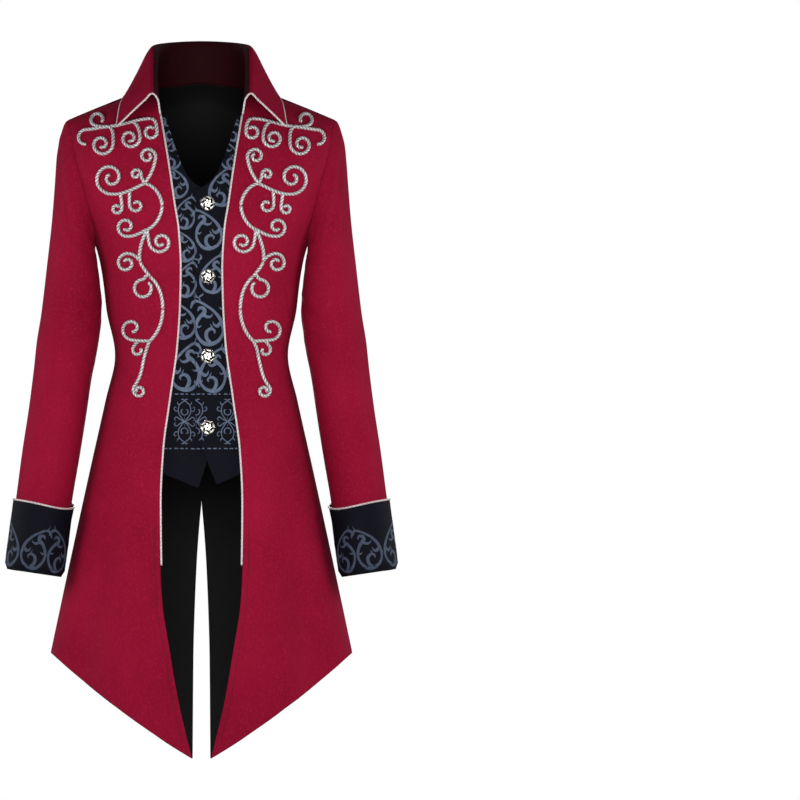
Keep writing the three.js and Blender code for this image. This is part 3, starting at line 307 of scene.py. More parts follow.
# The woven leaf scroll, charted: each stroke's points across and up, and half its widths
LEAF_SCROLL = [
    (
        [(0.60, 1.22), (0.50, 1.40), (0.34, 1.44), (0.06, 1.28), (-0.20, 1.06), (-0.38, 0.80),
         (-0.46, 0.54), (-0.44, 0.32), (-0.28, 0.10), (-0.02, 0.00), (0.22, 0.04), (0.40, 0.24),
         (0.48, 0.50), (0.43, 0.72), (0.30, 0.92), (0.14, 1.06), (0.16, 1.19), (0.29, 1.22), (0.36, 1.12)],
        (0.020, 0.055, 0.040, 0.040, 0.045, 0.060, 0.058, 0.045, 0.055, 0.070, 0.062, 0.048,
         0.048, 0.055, 0.060, 0.072, 0.060, 0.048, 0.018),
    ),
    (
        [(0.00, 0.04), (0.12, 0.20), (0.11, 0.40), (-0.05, 0.50), (-0.17, 0.42), (-0.14, 0.33)],
        (0.050, 0.064, 0.060, 0.046, 0.034, 0.010),
    ),
    ([(-0.41, 0.70), (-0.28, 0.58), (-0.17, 0.62), (-0.12, 0.74)], (0.050, 0.062, 0.036, 0.004)),
    ([(0.22, 0.99), (0.04, 0.90), (-0.08, 0.92), (-0.14, 1.00)], (0.050, 0.048, 0.028, 0.004)),
    ([(0.46, 0.64), (0.36, 0.58), (0.27, 0.64)], (0.040, 0.032, 0.004)),
    ([(-0.05, 0.48), (-0.08, 0.56), (-0.02, 0.66)], (0.034, 0.024, 0.004)),
    ([(0.36, 1.42), (0.42, 1.52), (0.46, 1.64)], (0.036, 0.020, 0.003)),
]
# A small sprig between the scrolls
LEAF_SPRIG = [
    ([(0.00, 0.00), (-0.22, 0.14), (-0.30, 0.38), (-0.16, 0.60)], (0.030, 0.105, 0.080, 0.004)),
    ([(0.00, 0.00), (0.20, 0.14), (0.42, 0.20), (0.54, 0.40)], (0.030, 0.090, 0.065, 0.004)),
    ([(0.00, 0.04), (0.03, -0.18), (0.16, -0.34)], (0.036, 0.062, 0.004)),
]
# A quarter of a lace-like medallion, whose strokes are mirrored down
LACE_QUARTER = [
    ([(0, 1.00), (0.26, 0.78), (0.30, 0.44), (0.14, 0.16), (0, 0)], (0.022, 0.024, 0.024, 0.022, 0.03)),
    ([(0, 0), (0.22, 0.10), (0.40, 0.22), (0.50, 0.12), (0.42, 0.04)], (0.03, 0.022, 0.026, 0.022, 0.008)),
    ([(0, 0.30), (0.14, 0.38), (0.16, 0.54), (0.06, 0.58)], (0.020, 0.024, 0.026, 0.006)),
    (
        [(0.29, 0.52), (0.44, 0.50), (0.52, 0.62), (0.46, 0.70), (0.40, 0.64)],
        (0.020, 0.022, 0.024, 0.020, 0.006),
    ),
    ([(0.24, 0.80), (0.34, 0.86), (0.36, 0.96)], (0.020, 0.026, 0.004)),
    ([(0, 1.00), (0.08, 1.07), (0.18, 1.06)], (0.030, 0.030, 0.004)),
    ([(0, 0.12), (0, 0.26)], (0.018, 0.004)),
]
LACE_HALF = [
    ([(x, way * y) for x, y in points], widths) for points, widths in LACE_QUARTER for way in (1, -1)
]
# Where the leaf scrolls stand on the waistcoat: the middle of the foot, the size, and 1 or -1 for the
# side that they turn to
WOVEN_SCROLLS = table(
    "x drop size turn",
    (50, 64, 26, 1),
    (44, 106, 30, -1),
    (31, 162, 38, 1),
    (13, 228, 41, -1),
    (17, 294, 37, 1),
    (14, 371, 45, -1),
    (18, 440, 42, 1),
    (-50, 64, 26, -1),
    (-44, 106, 30, 1),
    (-35, 150, 32, -1),
    (-25, 197, 32, 1),
    (-23, 247, 32, -1),
    (-24, 300, 34, 1),
    (-26, 362, 38, -1),
    (-24, 438, 46, 1),
    (56, 214, 40, 1),
    (58, 282, 40, -1),
    (60, 352, 42, 1),
    (62, 432, 42, -1),
    (-60, 200, 38, 1),
    (-60, 268, 40, -1),
    (-62, 338, 42, 1),
    (-66, 424, 46, -1),
)
# The lace-like medallions: their middles on each front, their drop and size, and the woven dashes
LACE = {"middles": {1: (-8, 40, 88), -1: (-26, -74)}, "drop": 485.5, "size": 31}
DASHES = {"drops": (444.5, 526), "reach": 100, "apart": 8.4, "long": 5.6, "short": 3.4}
# How far round a cuff is, where its first figure stands, and how far apart they are
CUFF_ROUND = 309.0
CUFF_FIGURE = dict(first=10.6, apart=45.0, foot=95.0, size=41.5)
# The middle line of a cuff's tube, and how far it leans with the height, for the way out of the tube
CUFF_MIDDLE = dict(x=237, y=-28, z=-612, lean_x=-0.145, lean_y=0.1)
WOVEN_SPRIGS = table(
    "x drop size turn",
    (4, 160, 15, 1),
    (37, 200, 17, -1),
    (-4, 246, 15, -1),
    (38, 252, 16, 1),
    (-4, 302, 15, 1),
    (37, 320, 17, -1),
    (-5, 385, 17, -1),
    (40, 385, 17, 1),
    (-5, 430, 15, 1),
    (-44, 210, 16, 1),
    (-44, 268, 15, -1),
    (-46, 316, 17, 1),
    (-48, 380, 18, -1),
    (-62, 120, 22, 1),
    (62, 128, 22, -1),
)
# Lights and camera, in metres and watts. The lights behind the coat have a share of those in front.
KEY_LIGHT = dict(y=1.12, z=-0.34, aim_z=-0.42, power=7.9)
SIDE_LIGHT = dict(x=1.45, y=0.45, z=-0.2, aim_x=0.1, aim_z=-0.45, power=5.6)
LIGHT_SIZE = 0.5
BACK_SHARE = 0.75
CAMERA_PLACE = (0.29775, -3.0, -0.4545)
CAMERA_WIDTH = 1.2
FLOOR = dict(half=6, z=-1.3)


def smooth(value, low, high):
    """0 below low, 1 above high, and 3t^2 - 2t^3 between them."""
    t = np.clip((value - low) / (high - low), 0, 1)
    return t * t * (3 - 2 * t)


def bell(distance, width):
    """1 in the middle, falling with the square of the distance in an exponential."""
    return np.exp(-((distance / width) ** 2))


def from_line(x, y, start, end):
    """How far along a line each place lies, with 0 and 1 at its ends, and how far away from it."""
    along = np.array(end) - start
    t = ((x - start[0]) * along[0] + (y - start[1]) * along[1]) / (along @ along)
    inside = np.clip(t, 0, 1)
    return t, np.hypot(x - start[0] - inside * along[0], y - start[1] - inside * along[1])


def reader(columns, key, name):
    """A column read at any key by cubics whose slope at a row is the harmonic mean beside it."""
    x = columns[key]
    y = columns[name]
    secant = np.diff(y) / np.diff(x)
    product = secant[:-1] * secant[1:]
    total = secant[:-1] + secant[1:]
    inner = np.where(product > 0, 2 * product / np.where(product > 0, total, 1), 0)
    slope = np.concatenate([secant[:1], inner, secant[-1:]])

    def read(at):
        """The value at a key: two slopes and two ends blended."""
        inside = np.clip(at, x[0], x[-1])
        i = np.clip(np.searchsorted(x, inside, side="right") - 1, 0, len(x) - 2)
        width = x[i + 1] - x[i]
        t = (inside - x[i]) / width
        start = y[i] * (1 + 2 * t) + slope[i] * width * t
        end = y[i + 1] * (3 - 2 * t) - slope[i + 1] * width * (1 - t)
        return start * (1 - t) ** 2 + end * t * t

    return read


half_width = reader(SECTIONS, "drop", "half_width")
reach_of = {FRONT: reader(SECTIONS, "drop", "front"), BACK: reader(SECTIONS, "drop", "back")}
front_edge_x = reader(FRONT_EDGE, "drop", "x")
back_seam_x = reader(BACK_SEAM, "drop", "x")
vent_x = reader(VENT, "drop", "x")
waistcoat_edge_x = {hand: reader(rows, "drop", "x") for hand, rows in WAISTCOAT_EDGE.items()}


def mix(a, b, t):
    """From a at t = 0 to b at t = 1 in a straight line."""
    return a + (b - a) * t


def unit(vectors):
    """Each vector divided by its length."""
    return vectors / np.maximum(np.linalg.norm(vectors, axis=-1, keepdims=True), 1e-12)


def shoulder_height(x):
    """Peak less slope times the distance from a softened ridge."""
    return SHOULDER["peak"] - SHOULDER["slope"] * np.hypot(x, SHOULDER["softness"])


def rolled(x, drop, side):
    """A quarter circle over the shoulder line: 0 on it and 1 below the roll."""
    t = np.clip((shoulder_height(x) + drop) / ROLL[side], 0, 1)
    return np.sqrt(1 - (1 - t) ** 2)


def fold_depth(angle, drop, side, hand):
    """The sum of bell curves across the angle, each growing from its start down to the hem."""
    total = np.zeros(np.broadcast(angle, drop).shape)
    for row in rows_of(FOLDS):
        if row["side"] == side:
            across = bell(np.degrees(angle) - row["angle"], row["spread"])
            grown = smooth(drop, row["start"], HEM["side_drop"] + 60)
            total = total + np.where(hand == row["hand"], row["depth"] * across * grown, 0)
    return total


def crease_depth(x, drop, side, hand):
    """The sum of soft troughs round straight lines, each fading to nothing at both of its ends."""
    total = np.zeros(np.broadcast(x, drop).shape)
    for row in rows_of(CREASES):
        if row["side"] == side:
            t, away = from_line(x, drop, (row["x0"], row["drop0"]), (row["x1"], row["drop1"]))
            fade = smooth(t, -0.25, 0.35) * (1 - smooth(t, 0.6, 1.25))
            trough = row["depth"] * bell(away, row["width"]) * fade
            total = total - np.where(hand == row["hand"], trough, 0)
    return total


def coat_points(angle, drop, side, hand):
    """The outside of the coat: a squared ellipse at each level, rolled over the shoulder line, and
    moved along its own level normal by the folds and creases."""
    width = half_width(drop)
    depth = reach_of[side](drop)
    x = width * np.sin(angle) ** (2 / SQUARENESS)
    level = np.clip(np.cos(angle), 0, None) ** (2 / SQUARENESS)
    y = side * depth * level * rolled(x, drop, side)
    across = np.sin(angle) / width
    outwards = side * level / depth
    length = np.hypot(across, outwards)
    move = fold_depth(angle, drop, side, hand) + crease_depth(x, drop, side, hand)
    x = hand * (x + across / length * move)
    y = y + outwards / length * move
    return np.stack(np.broadcast_arrays(x, y, -np.asarray(drop, float)), -1)


def coat_normals(angle, drop, side, hand):
    """The cross product of a small step across and a small step down, straight up on the shoulder line."""
    hand = np.asarray(hand, float)
    near = coat_points(np.maximum(angle - 0.004, 0), drop, side, hand)
    far = coat_points(np.minimum(angle + 0.004, np.pi / 2), drop, side, hand)
    here = coat_points(angle, drop, side, hand)
    down = coat_points(angle, drop + 0.4, side, hand) - here
    normal = unit(np.cross(far - near, down) * (side * hand)[..., None])
    normal[..., 1] *= smooth(rolled(np.abs(here[..., 0]), drop, side), 0, 0.25)
    return unit(normal)


def angle_at(x, drop):
    """The angle whose level section passes through x."""
    return np.arcsin(np.clip(np.abs(x) / half_width(drop), 0, 1) ** (SQUARENESS / 2))


def laid(x, drop, side, lift):
    """Points on the coat from its front or back view, moved out by lift, with the direction out."""
    x, drop = np.broadcast_arrays(np.asarray(x, float), np.asarray(drop, float))
    hand = np.where(x < 0, -1.0, 1.0)
    angle = angle_at(x, drop)
    normal = coat_normals(angle, drop, side, hand)
    return coat_points(angle, drop, side, hand) + normal * np.asarray(lift, float)[..., None], normal


def slope_place(x, y, side):
    """The place of the shoulder slope above a plan point, by repeated substitution."""
    drop = -shoulder_height(x)
    for _ in range(14):
        share = np.clip(x / half_width(drop), 0, 1) ** SQUARENESS
        full = reach_of[side](drop) * (1 - share) ** (1 / SQUARENESS)
        drop = -shoulder_height(x) + ROLL[side] * (1 - np.sqrt(1 - (y / full) ** 2))
    return angle_at(x, drop), drop


def seam_place(x):
    """A place on the shoulder seam."""
    return angle_at(x, -shoulder_height(x)), -shoulder_height(x)


def front_neck(t):
    """The neck seam from the shoulder to the front corner: x falls with t squared, y grows with t."""
    return slope_place(mix(SHOULDER["neck_x"], NECK["front_x"], t * t), NECK["front"] * t, FRONT)


def back_neck(t):
    """The neck seam from the middle of the back to the shoulder: a quarter ellipse in plan."""
    return slope_place(
        SHOULDER["neck_x"] * np.sin(t * np.pi / 2), NECK["back"] * np.cos(t * np.pi / 2), BACK
    )


def armhole_place(turned, side):
    """The armhole, an ellipse in side view from the shoulder tip (0) to the underarm (180), with its
    angle found by halving."""
    turned = np.radians(turned)
    drop = ARMHOLE["middle_drop"] - ARMHOLE["half_height"] * np.cos(turned)
    wanted = ARMHOLE["half_depth"] * np.sin(turned)
    low = np.zeros_like(drop)
    high = np.full_like(drop, np.pi / 2)
    for _ in range(40):
        middle = (low + high) / 2
        beyond = np.abs(coat_points(middle, drop, side, 1)[..., 1]) > wanted + 1e-6
        low = np.where(beyond, middle, low)
        high = np.where(beyond, high, middle)
    return high, drop


def hem_place(angle, side, hand):
    """The hem: it drops in a slight bow from the side to the tip of the tail. It is cut level on the
    folded cloth, except close to the side seam and to the tip, where its ends are fixed."""
    drop = np.full_like(angle, HEM["side_drop"])
    for _ in range(30):
        x = half_width(drop) * np.sin(angle) ** (2 / SQUARENESS)
        free = smooth(x - HEM["tip_x"], HEM_ENDS["fixed"], HEM_ENDS["free"])
        free = free * (1 - smooth(np.degrees(angle), HEM_ENDS["free_turn"], HEM_ENDS["fixed_turn"]))
        x = mix(x, np.abs(coat_points(angle, drop, side, hand)[..., 0]), free)
        t = np.clip((HEM["side_x"] - x) / (HEM["side_x"] - HEM["tip_x"]), 0, 1)
        drop = mix(HEM["side_drop"], HEM["tip_drop"], (1 + HEM["bow"]) * t - HEM["bow"] * t * t)
    return angle, drop


def joined(*parts):
    """Lists of places one after another."""
    return np.concatenate([p[0] for p in parts]), np.concatenate([p[1] for p in parts])


def spaced(count, length):
    """Even steps from 0 to 1 with closer ones at both ends of a length in mm, where a seam turns in."""
    near = np.array([0.7, 1.4, 2.2, 3.2, 4.6]) / length
    return np.unique(np.concatenate([np.linspace(0, 1, count + 1), near, 1 - near]))


def shares(steps, start, end):
    """The steps after one mark and up to another, as shares of the way between them. The very first
    step counts with those after mark 0."""
    chosen = (steps <= end + 1e-9) & ((steps > start + 1e-9) | (start == 0))
    return (steps[chosen] - start) / (end - start)


def through(steps, marks):
    """Steps whose nearest ones are moved onto the marks, so that no two rows nearly meet."""
    for mark in marks:
        steps[np.argmin(np.abs(steps - mark))] = mark
    return steps


def softened(values, width):
    """A row of values blurred along its middle, while both its ends keep their own."""
    at = np.arange(len(values))
    kernel = bell(at[:, None] - at[None], width)
    kept = smooth(np.minimum(at, at[::-1]) / (2.5 * width), 0, 1)
    return mix(values, kernel @ values / kernel.sum(1), kept)


def filled(inner, outer, top, bottom, t, s):
    """A grid of places blended from four borders: both pairs of sides less the corners."""
    t = t[:, None]
    s = s[None, :]
    grid = []
    for i in range(2):
        corners = mix(mix(top[i][0], top[i][-1], s), mix(bottom[i][0], bottom[i][-1], s), t)
        across = mix(inner[i][:, None], outer[i][:, None], s)
        grid.append(across + mix(top[i][None], bottom[i][None], t) - corners)
    return grid


def grid_faces(rows, columns, ids=None):
    """The four corners of each cell of a grid, round it."""
    if ids is None:
        ids = np.arange(rows * columns).reshape(rows, columns)
    return np.stack([ids[:-1, :-1], ids[:-1, 1:], ids[1:, 1:], ids[1:, :-1]], -1).reshape(-1, 4)


def ring_faces(rows, count):
    """The cells of a tube's grid, whose last column meets its first, and the numbers of its points."""
    ids = np.arange(rows * count).reshape(rows, count)
    return grid_faces(rows, count + 1, np.concatenate([ids, ids[:, :1]], 1)), ids


def cell_normals(points, faces):
    """The crossed diagonals of each cell."""
    corners = points[faces]
    return np.cross(corners[:, 2] - corners[:, 0], corners[:, 3] - corners[:, 1])


def face_normals(points, faces):
    """Outward unit vectors at the points: the sum of the crossed diagonals of the cells round each."""
    normal = cell_normals(points, faces)
    total = np.zeros_like(points)
    for corner in range(4):
        np.add.at(total, faces[:, corner], normal)
    return unit(total)


def add_object(name, data):
    """An object of the scene that holds some data."""
    made = bpy.data.objects.new(name, data)
    bpy.context.scene.collection.objects.link(made)
    return made


def make_mesh(name, points, faces, materials, slots=None, uv=None, hollow=None):
    """A mesh in metres with its faces' material numbers, and a map or hollow value for each point."""
    mesh = bpy.data.meshes.new(name)
    mesh.from_pydata((points * 0.001).tolist(), [], [list(map(int, face)) for face in faces])
    for material in materials:
        mesh.materials.append(material)
    if slots is not None:
        mesh.polygons.foreach_set("material_index", np.asarray(slots, np.int32))
    mesh.polygons.foreach_set("use_smooth", np.ones(len(faces), bool))
    if uv is not None:
        layer = mesh.uv_layers.new(name="UVMap")
        loops = np.zeros(len(mesh.loops), np.int32)
        mesh.loops.foreach_get("vertex_index", loops)
        layer.data.foreach_set("uv", np.asarray(uv, float)[loops].ravel())
    if hollow is not None:
        data = mesh.attributes.new("hollow", "FLOAT", "POINT")
        data.data.foreach_set("value", np.asarray(hollow, np.float32))
    mesh.update()
    piece = add_object(name, mesh)
    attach(piece, "root")
    return piece


def cloth_shell(name, points, faces, thickness, materials, normals=None, bulge=0.45):
    """A wall of cloth: the outer cells, the same cells moved in by the thickness, and a rounded rim
    whose middle stands out by the bulge. The first material is outside, the second inside."""
    if normals is None:
        normals = face_normals(points, faces)
    inner = points - normals * thickness
    starts = faces.ravel()
    ends = np.roll(faces, -1, axis=1).ravel()
    count = len(points)
    edge = ~np.isin(starts * count + ends, ends * count + starts)
    starts, ends = starts[edge], ends[edge]
    outwards = unit(np.cross(points[ends] - points[starts], normals[starts]))
    push = np.zeros_like(points)
    np.add.at(push, starts, outwards)
    np.add.at(push, ends, outwards)
    rim = np.unique(np.concatenate([starts, ends]))
    number = np.full(count, -1)
    number[rim] = np.arange(len(rim)) + 2 * count
    middle = (points[rim] + inner[rim]) / 2 + unit(push[rim]) * bulge
    every = np.concatenate([points, inner, middle])
    rim_out = np.stack([ends, starts, number[starts], number[ends]], -1)
    rim_in = np.stack([number[ends], number[starts], starts + count, ends + count], -1)
    all_faces = np.concatenate([faces, faces[:, ::-1] + count, rim_out, rim_in])
    slots = np.zeros(len(all_faces), int)
    slots[len(faces) : 2 * len(faces)] = 1
    return make_mesh(name, every, all_faces, materials, slots)


def shade_rim(piece, start, places, reach, slot):
    """Gives the rim's faces, which come after start, another material within a reach of some places. On the
    coat it paints shade on the rims along the neck.
    """
    count = len(piece.data.polygons)
    centres, slots = np.zeros(3 * count), np.zeros(count, np.int32)
    piece.data.polygons.foreach_get("center", centres)
    piece.data.polygons.foreach_get("material_index", slots)
    rim = centres.reshape(-1, 3)[start:, None] * 1000
    near = np.linalg.norm(rim - places, axis=-1).min(1) < reach
    slots[start:] = np.where(near, slot, slots[start:])
    piece.data.polygons.foreach_set("material_index", slots)
    piece.data.update()


def parted(points, distance):
    """A grid whose border is pulled in, so that two panels only meet at their seam."""
    moved = points.copy()
    for axis in (0, 1):
        for here, inner in ((0, 1), (-1, -2)):
            at = np.take(points, here, axis)
            along = unit(np.gradient(at, axis=0))
            inwards = np.take(points, inner, axis) - at
            inwards = inwards - along * (inwards * along).sum(-1, keepdims=True)
            pull = unit(inwards) * distance
            if axis == 0:
                moved[here] += pull
            else:
                moved[:, here] += pull
    return moved


def from_border(points, open_rows=0):
    """How far each point of a grid lies from its side and bottom borders, along its row and column.
    The top border doesn't count, nor does the first side in the open rows."""
    across = np.linalg.norm(np.diff(points, axis=1), axis=-1)
    down = np.linalg.norm(np.diff(points, axis=0), axis=-1)
    left = np.pad(np.cumsum(across, axis=1), ((0, 0), (1, 0)))
    above = np.pad(np.cumsum(down, axis=0), ((1, 0), (0, 0)))
    right = left[:, -1:] - left
    below = above[-1:] - above
    left[:open_rows] = 1e3
    return np.minimum(np.minimum(left, right), below)


def sewn_in(points, normals, open_rows=0):
    """A panel whose border dips into its seams, as pressed seams and edges do."""
    dip = PRESSED["dip"] * bell(from_border(points, open_rows), PRESSED["reach"])
    return parted(points, PRESSED["apart"]) - normals * dip[..., None]


# Materials


def new_group(name, inputs, outputs):
    """An empty shader node group with named inputs and outputs, and its two end nodes."""
    group = bpy.data.node_groups.new(name, "ShaderNodeTree")
    kinds = {"value": "NodeSocketFloat", "color": "NodeSocketColor", "vector": "NodeSocketVector"}
    for label, kind in inputs:
        group.interface.new_socket(label, in_out="INPUT", socket_type=kinds[kind])
    for label, kind in outputs:
        group.interface.new_socket(label, in_out="OUTPUT", socket_type=kinds[kind])
    return group, group.nodes.new("NodeGroupInput"), group.nodes.new("NodeGroupOutput")


def add(tree, kind, values=(), **settings):
    """A node with its settings, and its inputs set by name or number."""
    node = tree.nodes.new(kind)
    for key, value in settings.items():
        setattr(node, key, value)
    for key, value in dict(values).items():
        node.inputs[key].default_value = value
    return node


def blend_colors(tree, factor, first, second, kind="MIX"):
    """A colour mix whose ends are sockets or colours."""
    node = add(tree, "ShaderNodeMix", data_type="RGBA", blend_type=kind)
    for socket, value in ((node.inputs[0], factor), (node.inputs[6], first), (node.inputs[7], second)):
        if isinstance(value, (tuple, float, int)):
            socket.default_value = value
        else:
            tree.links.new(value, socket)
    return node.outputs[2]


def ramp(tree, source, low, high):
    """0 below low and 1 above high."""
    node = add(tree, "ShaderNodeMapRange", {"From Min": low, "From Max": high}, clamp=True)
    tree.links.new(source, node.inputs["Value"])
    return node.outputs["Result"]


def weave_group():
    """Plain weave: two crossed sets of threads, loosened by a fine noise. Height is their sum."""
    group, start, end = new_group(
        "plain weave", [("Vector", "vector"), ("Scale", "value")], [("Height", "value"), ("Fleck", "value")]
    )
    noise = add(group, "ShaderNodeTexNoise", {"Scale": 300.0, "Detail": 2.0})
    group.links.new(start.outputs["Vector"], noise.inputs["Vector"])
    heights = []
    for direction in ("X", "Z"):
        wave = add(group, "ShaderNodeTexWave", {"Distortion": 1.6, "Detail": 1.0}, bands_direction=direction)
        group.links.new(start.outputs["Vector"], wave.inputs["Vector"])
        group.links.new(start.outputs["Scale"], wave.inputs["Scale"])
        heights.append(wave.outputs["Fac"])
    crossed = add(group, "ShaderNodeMath", operation="MAXIMUM")
    for socket, height in zip(crossed.inputs, heights):
        group.links.new(height, socket)
    mixed = add(group, "ShaderNodeMath", operation="MULTIPLY")
    group.links.new(crossed.outputs[0], mixed.inputs[0])
    group.links.new(noise.outputs["Fac"], mixed.inputs[1])
    group.links.new(mixed.outputs[0], end.inputs["Height"])
    group.links.new(noise.outputs["Fac"], end.inputs["Fleck"])
    return group


def tone_group():
    """Cloth colour: a broad mottling between two dyes and a fine fleck of a third."""
    group, start, end = new_group(
        "dyed cloth",
        [
            ("Vector", "vector"),
            ("Dye", "color"),
            ("Deep dye", "color"),
            ("Nap", "color"),
            ("Fleck", "value"),
        ],
        [("Color", "color"), ("Roughness", "value")],
    )
    broad = add(group, "ShaderNodeTexNoise", {"Scale": 7.0, "Detail": 3.0, "Roughness": 0.6})
    group.links.new(start.outputs["Vector"], broad.inputs["Vector"])
    dyed = blend_colors(
        group, ramp(group, broad.outputs["Fac"], 0.3, 0.72), start.outputs["Deep dye"], start.outputs["Dye"]
    )
    flecked = blend_colors(group, ramp(group, start.outputs["Fleck"], 0.5, 0.85), dyed, start.outputs["Nap"])
    rough = add(group, "ShaderNodeMapRange", {"To Min": 0.62, "To Max": 0.86})
    group.links.new(start.outputs["Fleck"], rough.inputs["Value"])
    group.links.new(flecked, end.inputs["Color"])
    group.links.new(rough.outputs["Result"], end.inputs["Roughness"])
    return group


def twist_group():
    """Twisted thread: slanted stripes from the map's two directions, with painted shade in the grooves."""
    group, start, end = new_group(
        "twisted thread",
        [("Vector", "vector"), ("Thread", "color"), ("Groove shade", "color")],
        [("Color", "color"), ("Height", "value")],
    )
    looks = {"Scale": 1.1, "Distortion": 0.35, "Detail": 1.0}
    wave = add(group, "ShaderNodeTexWave", looks, bands_direction="DIAGONAL")
    group.links.new(start.outputs["Vector"], wave.inputs["Vector"])
    color = blend_colors(
        group, ramp(group, wave.outputs["Fac"], 0.05, 0.5), start.outputs["Groove shade"], start.outputs["Thread"]
    )
    group.links.new(color, end.inputs["Color"])
    group.links.new(wave.outputs["Fac"], end.inputs["Height"])
    return group


WEAVE = weave_group()
TONE = tone_group()
TWIST = twist_group()


def new_material(name, roughness=0.7, metallic=0.0, sheen=0.0, sheen_tint=(1, 1, 1, 1), specular=0.5):
    """A material with one main shader, and its node tree and shader."""
    material = bpy.data.materials.new(name)
    material.use_nodes = True
    tree = material.node_tree
    shader = tree.nodes["Principled BSDF"]
    shader.inputs["Roughness"].default_value = roughness
    shader.inputs["Metallic"].default_value = metallic
    shader.inputs["Sheen Weight"].default_value = sheen
    shader.inputs["Sheen Roughness"].default_value = 0.45
    shader.inputs["Sheen Tint"].default_value = sheen_tint
    shader.inputs["Specular IOR Level"].default_value = specular
    return material, tree, shader


def bump(tree, shader, height, strength, distance):
    """Feeds a height into the shader's normal."""
    node = add(tree, "ShaderNodeBump", {"Strength": strength, "Distance": distance})
    tree.links.new(height, node.inputs["Height"])
    tree.links.new(node.outputs["Normal"], shader.inputs["Normal"])


def cloth_material(name, dye, deep, nap, scale, strength, sheen, tint, specular=0.3):
    """Woven cloth in Object coordinates."""
    material, tree, shader = new_material(name, sheen=sheen, sheen_tint=tint, specular=specular)
    place = add(tree, "ShaderNodeTexCoord").outputs["Object"]
    weave = add(tree, "ShaderNodeGroup", {"Scale": scale}, node_tree=WEAVE)
    dyes = {"Dye": dye, "Deep dye": deep, "Nap": nap}
    tone = add(tree, "ShaderNodeGroup", dyes, node_tree=TONE)
    tree.links.new(place, weave.inputs["Vector"])
    tree.links.new(place, tone.inputs["Vector"])
    tree.links.new(weave.outputs["Fleck"], tone.inputs["Fleck"])
    tree.links.new(tone.outputs["Color"], shader.inputs["Base Color"])
    tree.links.new(tone.outputs["Roughness"], shader.inputs["Roughness"])
    bump(tree, shader, weave.outputs["Height"], strength, 0.0004)
    return material


def thread_material(name, thread, groove_shade, roughness, metallic, strength, sheen=0.0):
    """Twisted cord, striped along the piece's own map."""
    material, tree, shader = new_material(name, roughness, metallic, sheen)
    # The second colour is painted shade in the grooves between the strands.
    colors = {"Thread": (*thread, 1), "Groove shade": (*groove_shade, 1)}
    twist = add(tree, "ShaderNodeGroup", colors, node_tree=TWIST)
    tree.links.new(add(tree, "ShaderNodeTexCoord").outputs["UV"], twist.inputs["Vector"])
    tree.links.new(twist.outputs["Color"], shader.inputs["Base Color"])
    bump(tree, shader, twist.outputs["Height"], strength, 0.0003)
    return material


def silver_material():
    """Bright silver, painted near-black as shade in its holes, where the piece's own hollow value is high.
    """
    material, tree, shader = new_material("pierced silver", 0.28, 1.0)
    hollow = add(tree, "ShaderNodeAttribute", attribute_name="hollow").outputs["Fac"]
    hole_shade = ramp(tree, hollow, 0.25, 0.65)
    # Painted shade: the holes are near-black, as dark as the shadow inside them.
    color = blend_colors(tree, hole_shade, (0.90, 0.88, 0.81, 1), (0.004, 0.004, 0.004, 1))
    tree.links.new(color, shader.inputs["Base Color"])
    rough = add(tree, "ShaderNodeMapRange", {"To Min": 0.24, "To Max": 0.75})
    tree.links.new(hole_shade, rough.inputs["Value"])
    tree.links.new(rough.outputs["Result"], shader.inputs["Roughness"])
    noise = add(tree, "ShaderNodeTexNoise", {"Scale": 900.0, "Detail": 2.0})
    tree.links.new(add(tree, "ShaderNodeTexCoord").outputs["Object"], noise.inputs["Vector"])
    bump(tree, shader, noise.outputs["Fac"], 0.12, 0.0002)
    return material


crimson = cloth_material(
    "crimson cloth", (0.330, 0.0070, 0.036, 1), (0.255, 0.0045, 0.026, 1), (0.40, 0.012, 0.050, 1),
    520, 0.25, 0.03, (1.0, 0.25, 0.4, 1), specular=0.03,
)
# The same crimson cloth painted much darker as shade, for the collar's stand and the back's neck rim.
shaded_crimson = cloth_material(
    "crimson cloth in painted shade", (0.030, 0.0026, 0.0055, 1), (0.022, 0.0020, 0.0040, 1), (0.040, 0.0035, 0.0070, 1),
    520, 0.25, 0.0, (1.0, 0.25, 0.4, 1), specular=0.08,
)
dark_brocade = cloth_material(
    "brocade ground", (0.0034, 0.0042, 0.0095, 1), (0.0018, 0.0021, 0.0050, 1), (0.006, 0.0075, 0.016, 1),
    620, 0.3, 0.0, (0.5, 0.6, 1.0, 1), specular=0.1,
)
blue_figure = cloth_material(
    "brocade figure", (0.125, 0.165, 0.255, 1), (0.075, 0.105, 0.175, 1), (0.20, 0.245, 0.34, 1),
    620, 0.35, 0.08, (0.7, 0.8, 1.0, 1), specular=0.4,
)
cuff_figure = cloth_material(
    "cuff brocade figure", (0.055, 0.076, 0.128, 1), (0.034, 0.048, 0.085, 1), (0.090, 0.115, 0.170, 1),
    620, 0.35, 0.06, (0.7, 0.8, 1.0, 1), specular=0.35,
)
black_lining = cloth_material(
    "black lining", (0.0080, 0.0072, 0.0076, 1), (0.0055, 0.0050, 0.0053, 1), (0.0105, 0.0096, 0.0100, 1),
    700, 0.1, 0.0, (1, 1, 1, 1), specular=0.14,
)
# Each thread's second colour is painted shade for its grooves.
cord_silver = thread_material("silver cord", (0.70, 0.68, 0.69), (0.20, 0.17, 0.18), 0.42, 0.25, 0.5, 0.1)
piping_satin = thread_material("satin piping", (0.72, 0.62, 0.63), (0.52, 0.42, 0.43), 0.38, 0.1, 0.25, 0.2)
stitch_thread = thread_material("sewing thread", (0.10, 0.002, 0.010), (0.04, 0.001, 0.004), 0.9, 0.0, 0.2)
silver = silver_material()
CRIMSON_BLACK = [crimson, black_lining]


# The body of the coat

